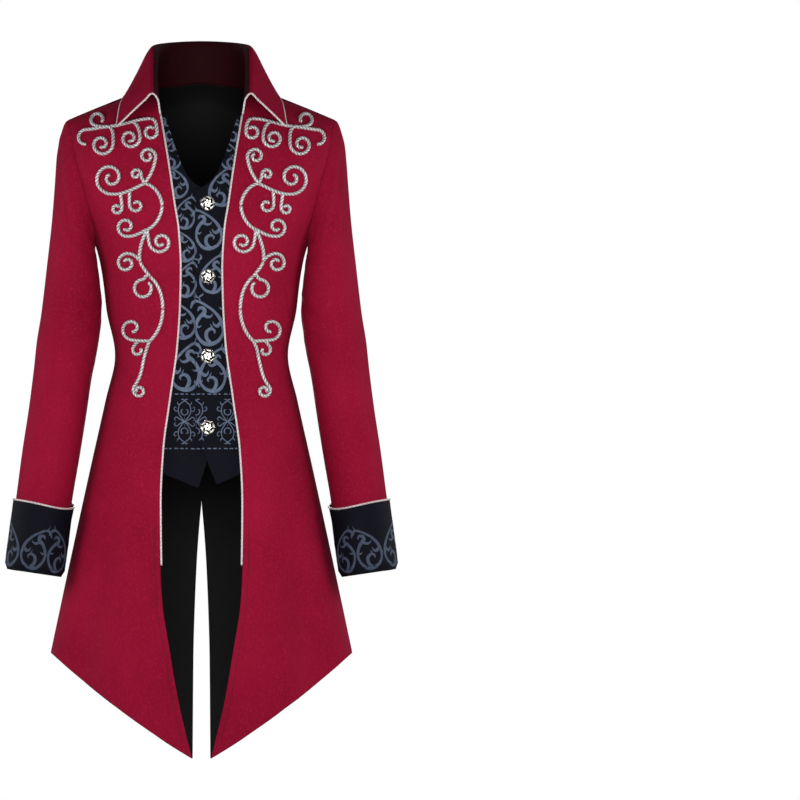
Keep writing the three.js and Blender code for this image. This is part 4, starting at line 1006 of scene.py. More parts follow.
# Shares of a panel's length or width at which its border turns a corner
NECK_END = 5 / 23
ARMHOLE_END = 9 / 23
BACK_ARMHOLE_END = 7 / 21
BACK_VENT_TOP = 14 / 21
BACK_NECK_END = 5 / 8
# Extra rows below the end of the back's armhole, in mm: of the middle back and of a side back
BACK_ROWS = np.array([1.2, 2.6, 4.6, 7.4, 14.3, 22.1, 30.0])
SIDE_BACK_ROWS = np.array([9.3, 11.6, 17.5, 24.5])
# The back's shaping seam: its turn on the armhole, its foot on the hem, and the share of its bent top
SHAPING = dict(turn=140.0, foot_x=149.0, foot_drop=898.0, bent=0.035)


def front_grid(hand, rows=128, columns=52):
    """A front: neck and cut edge inside, armhole and side seam outside, shoulder above, hem below."""
    t = through(spaced(rows, 1000), [ARMHOLE_END, NECK_END])
    s = spaced(columns, 220)
    neck_places = front_neck(shares(t, 0, NECK_END))
    skirt = shares(t, ARMHOLE_END, 1)
    chest_drops = mix(neck_places[1][-1], UNDERARM, shares(t, NECK_END, ARMHOLE_END))
    drops = np.concatenate([chest_drops, mix(UNDERARM, HEM["tip_drop"], skirt)])
    inner = joined(neck_places, (angle_at(front_edge_x(drops), drops), drops))
    side_seam = (np.full(skirt.shape, np.pi / 2), mix(UNDERARM, HEM["side_drop"], skirt))
    outer = joined(armhole_place(180 * shares(t, 0, ARMHOLE_END), FRONT), side_seam)
    top = seam_place(mix(SHOULDER["neck_x"], SHOULDER["tip_x"], s))
    bottom = hem_place(mix(inner[0][-1], np.pi / 2, s), FRONT, hand)
    return filled(inner, outer, top, bottom, t, s)


def back_seam_places(share, hand):
    """The shaping seam from the armhole (0) to the hem (1)."""
    foot = angle_at(np.array([SHAPING["foot_x"]]), np.array([SHAPING["foot_drop"]]))
    end_angle, end_drop = hem_place(foot, BACK, hand)
    start_angle, start_drop = armhole_place(np.array([SHAPING["turn"]]), BACK)
    drop = mix(start_drop, end_drop, share)
    seam = angle_at(back_seam_x(drop), drop)
    bent = mix(start_angle, seam, smooth(share, 0, SHAPING["bent"]))
    angle = np.where(share < SHAPING["bent"], bent, np.where(share > 0.999, end_angle, seam))
    return angle, drop


def back_grid(hand, rows=128, columns=56):
    """Half the middle back: middle and vent inside, armhole and shaping seam outside."""
    t = through(spaced(rows, 1000), [BACK_ARMHOLE_END, BACK_VENT_TOP])
    t = np.unique(np.concatenate([t, BACK_ARMHOLE_END + BACK_ROWS / 1000]))
    s = spaced(columns, 180)
    upper = shares(t, 0, BACK_ARMHOLE_END)
    middle = shares(t, BACK_ARMHOLE_END, BACK_VENT_TOP)
    tail_drops = mix(VENT_TOP, HEM["tip_drop"], shares(t, BACK_VENT_TOP, 1))
    inner = joined(
        (np.zeros(upper.shape), mix(back_neck(np.array([0.0]))[1], UNDERARM, upper)),
        (np.zeros(middle.shape), mix(UNDERARM, VENT_TOP, middle)),
        (angle_at(vent_x(tail_drops), tail_drops), tail_drops),
    )
    outer = joined(
        armhole_place(SHAPING["turn"] * upper, BACK), back_seam_places(shares(t, BACK_ARMHOLE_END, 1), hand)
    )
    on_seam = mix(SHOULDER["neck_x"], SHOULDER["tip_x"], shares(s, BACK_NECK_END, 1))
    top = joined(back_neck(shares(s, 0, BACK_NECK_END)), seam_place(on_seam))
    bottom = hem_place(mix(inner[0][-1], outer[0][-1], s), BACK, hand)
    soft = [softened(values, 9) for values in outer]
    grid = filled(inner, soft, top, bottom, t, s)
    grid = [g + (o - f)[:, None] * s**6 for g, o, f in zip(grid, outer, soft)]
    return grid, int((t <= BACK_VENT_TOP + 1e-9).sum())


def back_side_grid(hand, rows=100, columns=22):
    """A side back: shaping seam to side seam, armhole above, hem below."""
    t = np.unique(np.concatenate([spaced(rows, 700), SIDE_BACK_ROWS / 700]))
    s = spaced(columns, 90)
    inner = back_seam_places(t, hand)
    outer = (np.full(t.shape, np.pi / 2), mix(UNDERARM, HEM["side_drop"], t))
    top = armhole_place(mix(SHAPING["turn"], 180.0, s), BACK)
    bottom = hem_place(mix(inner[0][-1], np.pi / 2, s), BACK, hand)
    return filled(inner, outer, top, bottom, t, s)


def panel(name, grid, side, hand, node, materials, open_rows=0):
    """A panel of the body from its grid of places."""
    points = coat_points(grid[0], grid[1], side, hand)
    normals = coat_normals(grid[0], grid[1], side, hand)
    points = sewn_in(points, normals, open_rows)
    rows, columns = points.shape[:2]
    faces = grid_faces(rows, columns)
    if side * hand < 0:
        faces = faces[:, ::-1]
    piece = cloth_shell(name, points.reshape(-1, 3), faces, CLOTH, materials, normals.reshape(-1, 3))
    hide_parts(node)


def middle_back(name, depth, thickness, node, materials):
    """The middle back in one piece: its halves share their middle column down to the vent."""
    points, normals, faces, neck = [], [], [], []
    for hand in (-1, 1):
        grid, joined_rows = back_grid(hand)
        rows, columns = grid[0].shape
        outer = coat_points(grid[0], grid[1], BACK, hand)
        normal = coat_normals(grid[0], grid[1], BACK, hand)
        outer = sewn_in(outer, normal, joined_rows)
        outer[:joined_rows, 0, 0] = 0
        normal[:joined_rows, 0, 0] = 0
        normal = unit(normal)
        ids = np.arange(rows * columns).reshape(rows, columns) + (0 if hand < 0 else rows * columns)
        if hand > 0:
            ids[:joined_rows, 0] -= rows * columns
        cells = grid_faces(rows, columns, ids)
        faces.append(cells[:, ::-1] if hand < 0 else cells)
        points.append((outer - normal * depth).reshape(-1, 3))
        normals.append(normal.reshape(-1, 3))
        neck.append(outer[0, : int(columns * 0.62)])
    every, faces = np.concatenate(points), np.concatenate(faces)
    used, faces = np.unique(faces, return_inverse=True)
    faces = faces.reshape(-1, 4)
    piece = cloth_shell(name, every[used], faces, thickness, materials, np.concatenate(normals)[used])
    # The rim along the neck takes the last material. For the back cloth this is crimson painted darker as
    # shade.
    shade_rim(piece, 2 * len(faces), np.concatenate(neck), 3.5, len(materials) - 1)
    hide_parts(node)


def read_rows(rows, at):
    """Rows of points read at any row number by cubics through them with half-chord slopes."""
    last = len(rows) - 1
    i = np.clip(np.floor(at).astype(int), 0, last - 1)
    t = (at - i).reshape((-1,) + (1,) * (rows.ndim - 1))
    before, after = rows[np.maximum(i - 1, 0)], rows[np.minimum(i + 2, last)]
    here, there = rows[i], rows[i + 1]
    return 0.5 * (
        2 * here
        + (there - before) * t
        + (2 * before - 5 * here + 4 * there - after) * t**2
        + (3 * here - before - 3 * there + after) * t**3
    )


def ring_points(ring, turned, hand):
    """An ellipse between a ring's outer and inner points, half its depth to the front and back."""
    c, s = np.cos(np.radians(turned)), np.sin(np.radians(turned))
    x = (ring["outer_x"] + ring["inner_x"]) / 2 + c * (ring["outer_x"] - ring["inner_x"]) / 2
    drop = (ring["outer_drop"] + ring["inner_drop"]) / 2 + c * (ring["outer_drop"] - ring["inner_drop"]) / 2
    return np.stack(np.broadcast_arrays(hand * x, -ring["forward"] - s * ring["depth"], -drop), -1)


def armhole_points(turned, hand):
    """The armhole at turns that run over the front (90) and the back (270), with the coat's normals."""
    front = armhole_place(np.minimum(turned, 360 - turned), FRONT)
    back = armhole_place(np.minimum(turned, 360 - turned), BACK)
    ahead = (turned <= 180)[:, None]
    points = np.where(ahead, coat_points(*front, FRONT, hand), coat_points(*back, BACK, hand))
    normals = np.where(ahead, coat_normals(*front, FRONT, hand), coat_normals(*back, BACK, hand))
    return points, normals


def sleeve_dent(turned, at, hand):
    """Soft troughs deepest at mid length, each with a low ridge along both sides."""
    around, down = np.meshgrid(turned * MM_A_TURN, at * MM_A_RING)
    dent = np.zeros(around.shape)
    for row in rows_of(SLEEVE_CREASES):
        start = ((row["turn0"] + 6 * hand) * MM_A_TURN, row["ring0"] * MM_A_RING)
        end = ((row["turn1"] + 6 * hand) * MM_A_TURN, row["ring1"] * MM_A_RING)
        t, away = from_line(around, down, start, end)
        dent += row["depth"] * bell(away, row["width"]) * (0.35 + 0.65 * np.sin(np.pi * np.clip(t, 0, 1)))
        dent -= 0.4 * row["depth"] * bell(away - 1.8 * row["width"], row["width"])
    return dent


def sleeve(name, hand, node):
    """A tube through rings, whose first is the armhole, dented by its creases."""
    turned = np.linspace(0, 360, 97)[:-1]
    hole, hole_normals = armhole_points(turned, hand)
    bend = hole - ring_points(SLEEVE_TOP, turned, hand)
    rings = [
        ring_points(ring, turned, hand) + bend * max(0.8 - 0.2 * r, 0)
        for r, ring in enumerate(rows_of(SLEEVE))
    ]
    hole = hole + unit(rings[0] - hole) * 0.3
    at = np.concatenate([[0, 0.05, 0.11, 0.18, 0.3, 0.45, 0.7], np.linspace(1, len(rings), 118)])
    points = read_rows(np.stack([hole, *rings]), at)
    faces, _ = ring_faces(len(at), len(turned))
    if hand < 0:
        faces = faces[:, ::-1]
    normals = face_normals(points.reshape(-1, 3), faces).reshape(points.shape)
    dented = points - normals * sleeve_dent(turned, at, hand)[..., None]
    normals = face_normals(dented.reshape(-1, 3), faces).reshape(points.shape)
    # Over the shoulder the first ring lies along the coat, so that no slit opens at the seam.
    over = (1 - smooth(np.minimum(turned, 360 - turned), 40, 85))[:, None]
    normals[0] = unit(mix(normals[0], hole_normals, over))
    steps = np.linalg.norm(np.diff(points, axis=0, prepend=points[:1]), axis=-1)
    dip = PRESSED["dip"] * bell(np.cumsum(steps, axis=0), PRESSED["reach"]) * (1 - 0.9 * over[:, 0])
    dented = dented - dip[..., None] * hole_normals
    piece = cloth_shell(name, dented.reshape(-1, 3), faces, CLOTH, CRIMSON_BLACK, normals.reshape(-1, 3))
    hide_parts(node)


def cuff_points(along, down, hand):
    """A cuff: rings from its top edge to its fold, whose last part lifts off and laps over its start,
    with a rounded top corner. along and down run from 0 to 1."""
    turned = CUFF_LAP["start"] - CUFF_LAP["turn"] * along
    corner = smooth(along, 1 - CUFF_LAP["round_turn"], 1) ** 2
    lap = CUFF_LAP["lift"] * smooth(along, 1 - CUFF_LAP["lift_turn"], 1 - CUFF_LAP["flat_turn"])
    rows = np.arange(len(CUFF["depth"]), dtype=float)
    at = mix(CUFF_LAP["round_drop"] * corner / CUFF_LAP["height"], 1, down) * rows[-1]
    ring = {key: np.interp(at, rows, column) for key, column in CUFF.items()}
    ring["depth"] = ring["depth"] + lap
    ring["outer_x"] = ring["outer_x"] + lap
    ring["inner_x"] = ring["inner_x"] - lap
    points = ring_points(ring, turned, hand)
    rise = CUFF_RIM["rise"] * bell(turned - CUFF_RIM["rise_turn"], CUFF_RIM["spread"])
    sag = CUFF_RIM["sag"] * bell(turned - CUFF_RIM["sag_turn"], CUFF_RIM["spread"])
    points[..., 2] += (rise - sag) * (1 - down) ** 2
    return points


def cuff(name, hand, node):
    """A turned-back cuff as a lapped band."""
    along, down = np.meshgrid(spaced(150, 310), spaced(40, 112))
    points = cuff_points(along, down, hand)
    faces = grid_faces(*along.shape)
    if hand > 0:
        faces = faces[:, ::-1]
    piece = cloth_shell(name, points.reshape(-1, 3), faces, CLOTH, [dark_brocade, dark_brocade], bulge=0.6)
    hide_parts(node)


def distances(path):
    """How far along a path each of its points is."""
    return np.concatenate([[0], np.cumsum(np.linalg.norm(np.diff(path, axis=0), axis=1))])


def round_points(path, across, up, size, turn):
    """Points at each turn round each place of a path, in the plane of its two directions."""
    sideways = across[:, None] * (size * np.cos(turn))[..., None]
    return (path[:, None] + sideways + up[:, None] * (size * np.sin(turn))[..., None]).reshape(-1, 3)


def tube_arrays(path, radius, sides, ups=None, rope=None, offset=0):
    """Points, faces and map of a round profile carried along a path, with domed ends. A rope's radius
    swells and falls round it in strands that turn with the distance along it."""
    tangent = unit(np.gradient(path, axis=0))
    if ups is None:
        ups = np.broadcast_to(np.array([0.31, -0.8, 0.5]), path.shape)
    across = unit(np.cross(tangent, ups))
    distance = distances(path)[:, None]
    turn = np.linspace(0, 2 * np.pi, sides + 1)[:-1]
    size = np.full((len(path), sides), float(radius))
    if rope is not None:
        strands, pitch, swell = rope
        phase = strands * (turn - 2 * np.pi * distance / (pitch * strands))
        size = size * (1 - swell + swell * 2 * np.abs(np.cos(phase / 2)) ** 0.8 * 0.75)
    end = np.minimum(distance, distance[-1] - distance) / radius
    size = size * np.sqrt(1 - (1 - np.clip(end, 0.02, 1)) ** 2)
    points = round_points(path, across, np.cross(across, tangent), size, turn)
    cells, ids = ring_faces(len(path), sides)
    uvs = np.broadcast_arrays(distance / 10, turn / (2 * np.pi) * radius * 0.6)
    caps = [list(ids[0] + offset), list(ids[-1][::-1] + offset)]
    return points, list(cells[:, ::-1] + offset) + caps, np.stack(uvs, -1).reshape(-1, 2)


def piping(name, path, node, ups=None):
    """A thin satin tube along a path."""
    points, faces, uvs = tube_arrays(path, PIPING, 10, ups)
    piece = make_mesh(name, points, faces, [piping_satin], uv=uvs)
    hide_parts(node)


def even_path(points, step):
    """A path's points spaced evenly, with straight lines between the given ones."""
    distance = distances(points)
    at = np.linspace(0, distance[-1], max(int(distance[-1] / step), 2) + 1)
    return np.stack([np.interp(at, distance, column) for column in points.T], -1)


def smoothed(path, count):
    """A path whose every point is the mean of an odd count of points round it."""
    padded = np.pad(path, ((count // 2, count // 2), (0, 0)), mode="edge")
    return np.stack([np.convolve(column, np.ones(count) / count, mode="valid") for column in padded.T], -1)


def front_piping(hand):
    """Piping down a front's cut edge, from the collar's piping to the place where it ends."""
    drops = np.linspace(front_neck(np.array([1.0]))[1][0] - 0.6, PIPING_END, 420)
    x = hand * (front_edge_x(drops) - PIPING - 0.25)
    path, normals = laid(x, drops, FRONT, np.full(420, -CLOTH / 2))
    piping("edge_piping_" + NAMES[hand], path, "piping_front_" + NAMES[hand], normals)


def cuff_piping(hand):
    """Piping along a cuff's top edge, and down its end over the lap."""
    along = np.linspace(0.03, 0.985, 240)
    top = cuff_points(along, np.zeros(240), hand)
    top = top + unit(top - cuff_points(along, np.full(240, 0.12), hand)) * (PIPING + 0.2)
    down = np.linspace(0.05, 1, 70)
    end = cuff_points(np.ones(70), down, hand)
    end = end + unit(end - cuff_points(np.full(70, 0.985), down, hand)) * (PIPING + 0.2)
    path = smoothed(even_path(np.concatenate([top, end]), 1.2), 7)
    piping("cuff_piping_" + NAMES[hand], path, "piping_cuff_" + NAMES[hand])


def heading(turned):
    """A direction on a panel, whose second number runs down."""
    return np.array([np.cos(np.radians(turned)), -np.sin(np.radians(turned))])


def scroll_path(scroll):
    """A stem is a cubic between two points and headings. A curl is such a stem that runs on into a
    spiral, whose radius shrinks as it turns."""
    start = np.array(scroll["start"], float)
    way = np.sign(scroll.get("turns", 1))

    def spiral(t):
        """A place on the spiral, from its entry (0) to its inner end (1)."""
        radius = scroll["end"] + (scroll["radius"] - scroll["end"]) * (1 - t) ** 1.25
        turned = np.radians(scroll["entry"] + 360 * scroll["turns"] * t)
        out = np.stack([np.cos(turned), -np.sin(turned)], -1)
        return np.array(scroll["centre"]) + out * radius[:, None]

    stem_only = "to" in scroll
    end = np.array(scroll["to"], float) if stem_only else spiral(np.zeros(1))[0]
    arrive = heading(scroll["arrive"] if stem_only else scroll["entry"] + 90 * way)
    reach = np.linalg.norm(end - start) * (1 if stem_only else 1.15)
    t = np.linspace(0, 1, 60)[:, None]
    stem = (
        start * (1 + 2 * t) * (1 - t) ** 2
        + heading(scroll["heading"]) * reach * t * (1 - t) ** 2
        + end * t * t * (3 - 2 * t)
        + arrive * reach * t * t * (t - 1)
    )
    if stem_only:
        return stem
    return np.concatenate([stem, spiral(np.linspace(0, 1, 160)[1:])])


def cord_scrolls(name, scrolls, side, hands, node):
    """Three-strand cord sewn on a panel along every scroll, its middle just above the cloth."""
    points, faces, uvs = [], [], []
    for hand in hands:
        for scroll in scrolls:
            path = even_path(scroll_path(scroll), 0.7)
            x = np.maximum(path[:, 0], 0.01) * hand
            path, normals = laid(x, path[:, 1], side, np.full(len(x), 0.62 * CORD))
            p, f, uv = tube_arrays(path, CORD, 9, normals, ROPE, sum(map(len, points)))
            points.append(p)
            faces += f
            uvs.append(uv)
    piece = make_mesh(name, np.concatenate(points), faces, [cord_silver], uv=np.concatenate(uvs))
    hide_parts(node)


def collar_grid(at, across):
    """The folded collar: a cubic from the neck seam up over the roll and down to the free edge."""
    row = {key: reader(COLLAR_LINE, "at", key)(at) for key in COLLAR_LINE if key != "at"}
    hand = np.where(at < 0, -1.0, 1.0)
    share = np.abs(at)
    back = back_neck(np.clip(2 * share, 0, 1))
    front = front_neck(np.clip(2 * share - 1, 0, 1))
    behind = (share <= 0.5)[:, None]
    base = np.where(behind, coat_points(*back, BACK, hand), coat_points(*front, FRONT, hand))
    base = base + np.array([0, 0, SEAM])
    fold = np.stack([row["fold_x"], row["fold_y"], row["fold_z"]], -1)
    edge = np.stack([row["edge_x"], row["edge_y"], row["edge_z"]], -1)
    out = unit((edge - base) * np.array([1, 1, 0]))
    roll = row["roll"][:, None]
    up = np.array([0, 0, 1.0])
    inside = fold - out * roll * 0.9 - up * roll * 1.1
    outside = fold + out * roll * 1.05 - up * roll
    stand = mix(base, inside, 0.55)
    drape = mix(outside, edge, 0.5) + out * 0.5
    rows = np.stack([base, stand, inside, fold, outside, drape, edge])
    # The cubic's knots are as far apart as the roots of the distances, and a slope weighs its sides.
    gap = np.sqrt(np.linalg.norm(np.diff(rows, axis=0), axis=-1, keepdims=True))
    secant = np.diff(rows, axis=0) / gap
    inner = (secant[:-1] * gap[1:] + secant[1:] * gap[:-1]) / (gap[:-1] + gap[1:])
    slope = np.concatenate([secant[:1], inner, secant[-1:]])
    where = across * (len(rows) - 1)
    i = np.clip(np.floor(where).astype(int), 0, len(rows) - 2)
    t = (where - i)[:, None, None]
    start = rows[i] * (1 + 2 * t) + slope[i] * gap[i] * t
    end = rows[i + 1] * (3 - 2 * t) - slope[i + 1] * gap[i] * (1 - t)
    return start * (1 - t) ** 2 + end * t**2


def collar(name, node):
    """The stand-and-fall collar, crimson painted darker as shade on its stand. Gives the path of its piping:
    up one end, along the free edge and down the other end, from the middle of the wall."""
    at = 2 * spaced(120, 400) - 1
    across = spaced(48, 110)
    points = collar_grid(at, across)
    faces = grid_faces(len(across), len(at))[:, ::-1]
    normals = face_normals(points.reshape(-1, 3), faces)
    # The third material is crimson painted darker as shade, for both sides of the stand and the rim along
    # the neck seam.
    materials = [crimson, crimson, shaded_crimson]
    piece = cloth_shell(name, points.reshape(-1, 3), faces, COLLAR, materials, normals, bulge=0.5)
    stand = (across[:-1] + across[1:]) / 2 < 0.47
    slots = np.zeros(len(piece.data.polygons), np.int32)
    slots[: 2 * len(faces)] = np.tile(np.repeat(np.where(stand, 2, 0), len(at) - 1), 2)
    piece.data.polygons.foreach_set("material_index", slots)
    shade_rim(piece, 2 * len(faces), points[0], 4.5, 2)
    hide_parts(node)
    middle = points - normals.reshape(points.shape) * COLLAR / 2
    clear = PIPING + 0.3
    first, last = (
        middle[:-2, edge] + unit(middle[:-2, edge] - middle[:-2, inner]) * clear
        for edge, inner in ((0, 3), (-1, -4))
    )
    below = middle[-1] + unit(middle[-1] - middle[-4]) * clear
    return smoothed(even_path(np.concatenate([first, below[1:-1], last[::-1]]), 1.2), 5)


def waistcoat_depth(x, drop, hand):
    """How deep the waistcoat lies inside the coat: clear of the front's edge, sewn at its own side.
    Its own edge is turned back, so it stands up in a narrow bell where the coat is open."""
    down = np.clip((drop - WAISTCOAT_SIDE["top_drop"]) / 510, 0, 1)
    side_x = mix(WAISTCOAT_SIDE["top_x"], WAISTCOAT_SIDE["bottom_x"], down)
    free = STAND_OFF * (1 - 0.9 * smooth(x, front_edge_x(drop) + 6, side_x))
    under = 0 if hand > 0 else (WAISTCOAT + 3 * SEAM) * (1 - smooth(x, 12, 30))
    turned = TURNED_EDGE["height"] * bell(x - waistcoat_edge_x[hand](drop), TURNED_EDGE["width"])
    return CLOTH + SEAM + 0.5 + free + under - turned * smooth(front_edge_x(drop) - x, 2, 14)


def waistcoat_points(x, drop, hand, lift=0.0):
    """Points of a waistcoat front from the coat's surface moved in. x is positive on its own side."""
    x, drop = np.broadcast_arrays(x, drop)
    return laid(hand * x, drop, FRONT, -waistcoat_depth(x, drop, hand) + lift)


def waistcoat(name, hand, node):
    """A waistcoat front between its neckline and buttoned edge and its sewn side."""
    edge_drop = WAISTCOAT_EDGE[hand]["drop"]
    t = spaced(150, 560)[:, None]
    s = spaced(34, 90)[None, :]
    inner_drop = mix(edge_drop[0], edge_drop[-1], t)
    drop = mix(inner_drop, mix(WAISTCOAT_SIDE["top_drop"], WAISTCOAT_SIDE["bottom_drop"], t), s)
    side_x = mix(WAISTCOAT_SIDE["top_x"], WAISTCOAT_SIDE["bottom_x"], t)
    points, normals = waistcoat_points(mix(waistcoat_edge_x[hand](inner_drop), side_x, s), drop, hand)
    faces = grid_faces(*drop.shape)
    if hand > 0:
        faces = faces[:, ::-1]
    materials = [dark_brocade, black_lining]
    normals = normals.reshape(-1, 3)
    piece = cloth_shell(name, points.reshape(-1, 3), faces, WAISTCOAT, materials, normals, 0.4)
    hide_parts(node)


# Woven figures


def stroke_arrays(points, widths, step):
    """A tapering band along a cubic through its points: its left and right edges, on the flat."""
    points = np.array(points, float)
    length = np.linalg.norm(np.diff(points, axis=0), axis=1).sum()
    count = max(int(length / step), 4)
    at = np.linspace(0, len(points) - 1, count + 1)
    middle = read_rows(points, at)
    width = np.interp(at, np.arange(len(widths)), widths)
    tangent = unit(np.gradient(middle, axis=0))
    side = np.stack([-tangent[:, 1], tangent[:, 0]], -1) * width[:, None]
    return middle - side, middle, middle + side


def figure_bands(figures, step):
    """Bands of many figures. Each figure is its strokes, the place of its foot, its size, 1 or -1 to
    mirror it across, and its turn in degrees."""
    bands = []
    for strokes, centre, size, flip, turn in figures:
        c, s = np.cos(np.radians(turn)), np.sin(np.radians(turn))
        for points, widths in strokes:
            p = np.array(points, float) * size
            p = np.stack([p[:, 0] * c - p[:, 1] * s, p[:, 0] * s + p[:, 1] * c], -1)
            p = np.stack([centre[0] + flip * p[:, 0], centre[1] - p[:, 1]], -1)
            bands.append(stroke_arrays(p, np.array(widths) * size, step))
    return bands


def lay_bands(name, bands, place, way_out, material):
    """Bands laid on a surface by place(x, drop, lift), which gives points and whether each is on the
    piece. A band is a thin ridge, highest along its middle, and faces the way that way_out gives."""
    points, faces = [], []
    count = 0
    for band in bands:
        flat = np.stack(band, 1)
        band_points, inside = place(flat[..., 0], flat[..., 1], np.array([[0.06, 0.2, 0.06]]))
        cells = grid_faces(*inside.shape)
        points.append(band_points.reshape(-1, 3))
        faces.append(cells[inside.reshape(-1)[cells].all(1)] + count)
        count += inside.size
    used, faces = np.unique(np.concatenate(faces), return_inverse=True)
    faces, every = faces.reshape(-1, 4), np.concatenate(points)[used]
    wrong = (cell_normals(every, faces) * way_out(every[faces].mean(1))).sum(1) < 0
    faces[wrong] = faces[wrong][:, ::-1]
    piece = make_mesh(name, every, faces, [material])


def out_of_waistcoat(points):
    """The way out of a waistcoat front: straight ahead."""
    return np.broadcast_to(np.array([0.0, -1.0, 0.0]), points.shape)


def out_of_cuff(points):
    """The way out of a cuff, from the middle line of its tube."""
    above = points[..., 2] - CUFF_MIDDLE["z"]
    x = np.sign(points[..., 0]) * (CUFF_MIDDLE["x"] + CUFF_MIDDLE["lean_x"] * above)
    return points - np.stack([x, CUFF_MIDDLE["y"] + CUFF_MIDDLE["lean_y"] * above, points[..., 2]], -1)


def waistcoat_place(hand):
    """Lays figures on a waistcoat front. Their x runs to the wearer's left on both fronts."""

    def place(x, drop, lifts):
        """Points at a lift above the front, and whether each is clear of its edges."""
        own = hand * x
        edge = waistcoat_edge_x[hand](drop)
        hem = mix(WAISTCOAT_EDGE[hand]["drop"][-1], WAISTCOAT_SIDE["bottom_drop"], np.clip(own / 104, 0, 1))
        inside = (drop > 26) & (drop < hem - 3) & (own < 100) & (own > edge - 3)
        if hand < 0:
            inside &= own > -4
        points, _ = waistcoat_points(np.maximum(own, edge + 0.25), drop, hand, lifts)
        return points, inside

    return place


def cuff_place(hand):
    """Lays figures on a cuff: their first number runs round it from its start, their second down."""
    heights = (CUFF["outer_drop"] + CUFF["inner_drop"]) / 2
    rows = np.linspace(0, 1, len(heights))

    def place(around, down, lifts):
        """Points at a lift above the cuff, and whether each is clear of its edges."""
        along = around / CUFF_ROUND
        below = np.interp(down, heights - heights[0], rows)
        inside = (along > 0.004) & (along < 0.992) & (down < heights[-1] - heights[0] - 1.5)
        points = cuff_points(np.clip(along, 0, 1), np.clip(below, 0, 1), hand)
        ahead = cuff_points(np.clip(along + 0.004, 0, 1.004), np.clip(below, 0, 1), hand)
        under = cuff_points(np.clip(along, 0, 1), np.clip(below + 0.01, 0, 1.01), hand)
        normal = unit(np.cross(ahead - points, under - points) * hand)
        normal = normal * np.sign((normal * out_of_cuff(points)).sum(-1, keepdims=True))
        return points + normal * lifts[..., None], inside

    return place


def placed(strokes, places, turn):
    """Figures of one kind at every row of a table of places."""
    return [
        (strokes, (x, drop), size, way, turn * way)
        for x, drop, size, way in zip(places["x"], places["drop"], places["size"], places["turn"])
    ]


def brocade_figures(hand):
    """The waistcoat's figures: leaf scrolls that turn to and from each other, sprigs between them, and
    a band of lace-like medallions between two rows of woven dashes."""
    figures = placed(LEAF_SCROLL, WOVEN_SCROLLS, 4) + placed(LEAF_SPRIG, WOVEN_SPRIGS, 12)
    for middle in LACE["middles"][hand]:
        for way in (-1, 1):
            figures.append((LACE_HALF, (middle, LACE["drop"]), LACE["size"], way, 0))
    bands = figure_bands(figures, 1.4)
    for drop in DASHES["drops"]:
        for i, x in enumerate(np.arange(-DASHES["reach"], DASHES["reach"], DASHES["apart"])):
            length = DASHES["long"] if i % 3 else DASHES["short"]
            ends = [(x, drop), (x + length / 2, drop), (x + length, drop)]
            bands.append(stroke_arrays(ends, (0.85, 0.9, 0.85), 1.5))
    return bands


def cuff_figures():
    """The cuff's figures: leaf scrolls that turn to and from each other round its lower part."""
    figures = []
    for i in range(7):
        way = 1 if i % 2 else -1
        foot = (CUFF_FIGURE["first"] + i * CUFF_FIGURE["apart"], CUFF_FIGURE["foot"])
        figures.append((LEAF_SCROLL, foot, CUFF_FIGURE["size"], way, 4 * way))
    return figure_bands(figures, 1.4)


def pierced(r, a):
    """1 where a button is metal and 0 in its holes, by the distance from the nearest hole's middle in
    each ring. The rings swirl with the radius."""
    metal = np.ones(r.shape)
    for holes, centre, size, shift in BUTTON_HOLES:
        swirl = a + shift * 2 * np.pi / holes + BUTTON["swirl"] * (r - centre)
        near = (swirl + np.pi / holes) % (2 * np.pi / holes) - np.pi / holes
        away = np.sqrt(r**2 + centre**2 - 2 * r * centre * np.cos(near))
        metal = np.minimum(metal, smooth(away, size - 0.04, size + 0.035))
    return metal


def button(name, drop, node):
    """A pierced dome: petals round a rim, and inside them holes round a swirled boss."""
    radii = np.concatenate([np.linspace(0.02, 1, 64), [1.01, 1.0, 0.94]])
    r, a = np.meshgrid(radii, np.linspace(0, 2 * np.pi, 169)[:-1], indexing="ij")
    dome = BUTTON["dome"] * np.sqrt(np.clip(1 - (0.94 * np.clip(r, 0, 1)) ** 2.2, 0, 1))
    metal = pierced(r, a)
    raised = 0.35 * bell(r - 0.48, 0.05) + 0.3 * bell(r - 0.84, 0.05)
    height = dome - BUTTON["hollow"] * (1 - metal) + raised * metal
    height[-3:] = np.array([1.3, 0.5, 0.0])[:, None]
    metal[-3:] = 1
    middle, normal = waistcoat_points(np.array([BUTTON_X]), np.array([float(drop)]), 1, BUTTON["lift"])
    across = unit(np.cross(normal, np.array([0, 0, 1.0])))
    up = np.cross(across, normal)
    flat = across * (r * np.cos(a))[..., None] + up * (r * np.sin(a))[..., None]
    points = (middle + BUTTON["radius"] * flat + normal * height[..., None]).reshape(-1, 3)
    cells, ids = ring_faces(*r.shape)
    faces = [*cells, ids[0][::-1], ids[-1]]
    if (cell_normals(points, cells) @ normal[0]).sum() < 0:
        faces = [face[::-1] for face in faces]
    piece = make_mesh(name, points, faces, [silver], hollow=(1 - metal).reshape(-1))
    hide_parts(node)


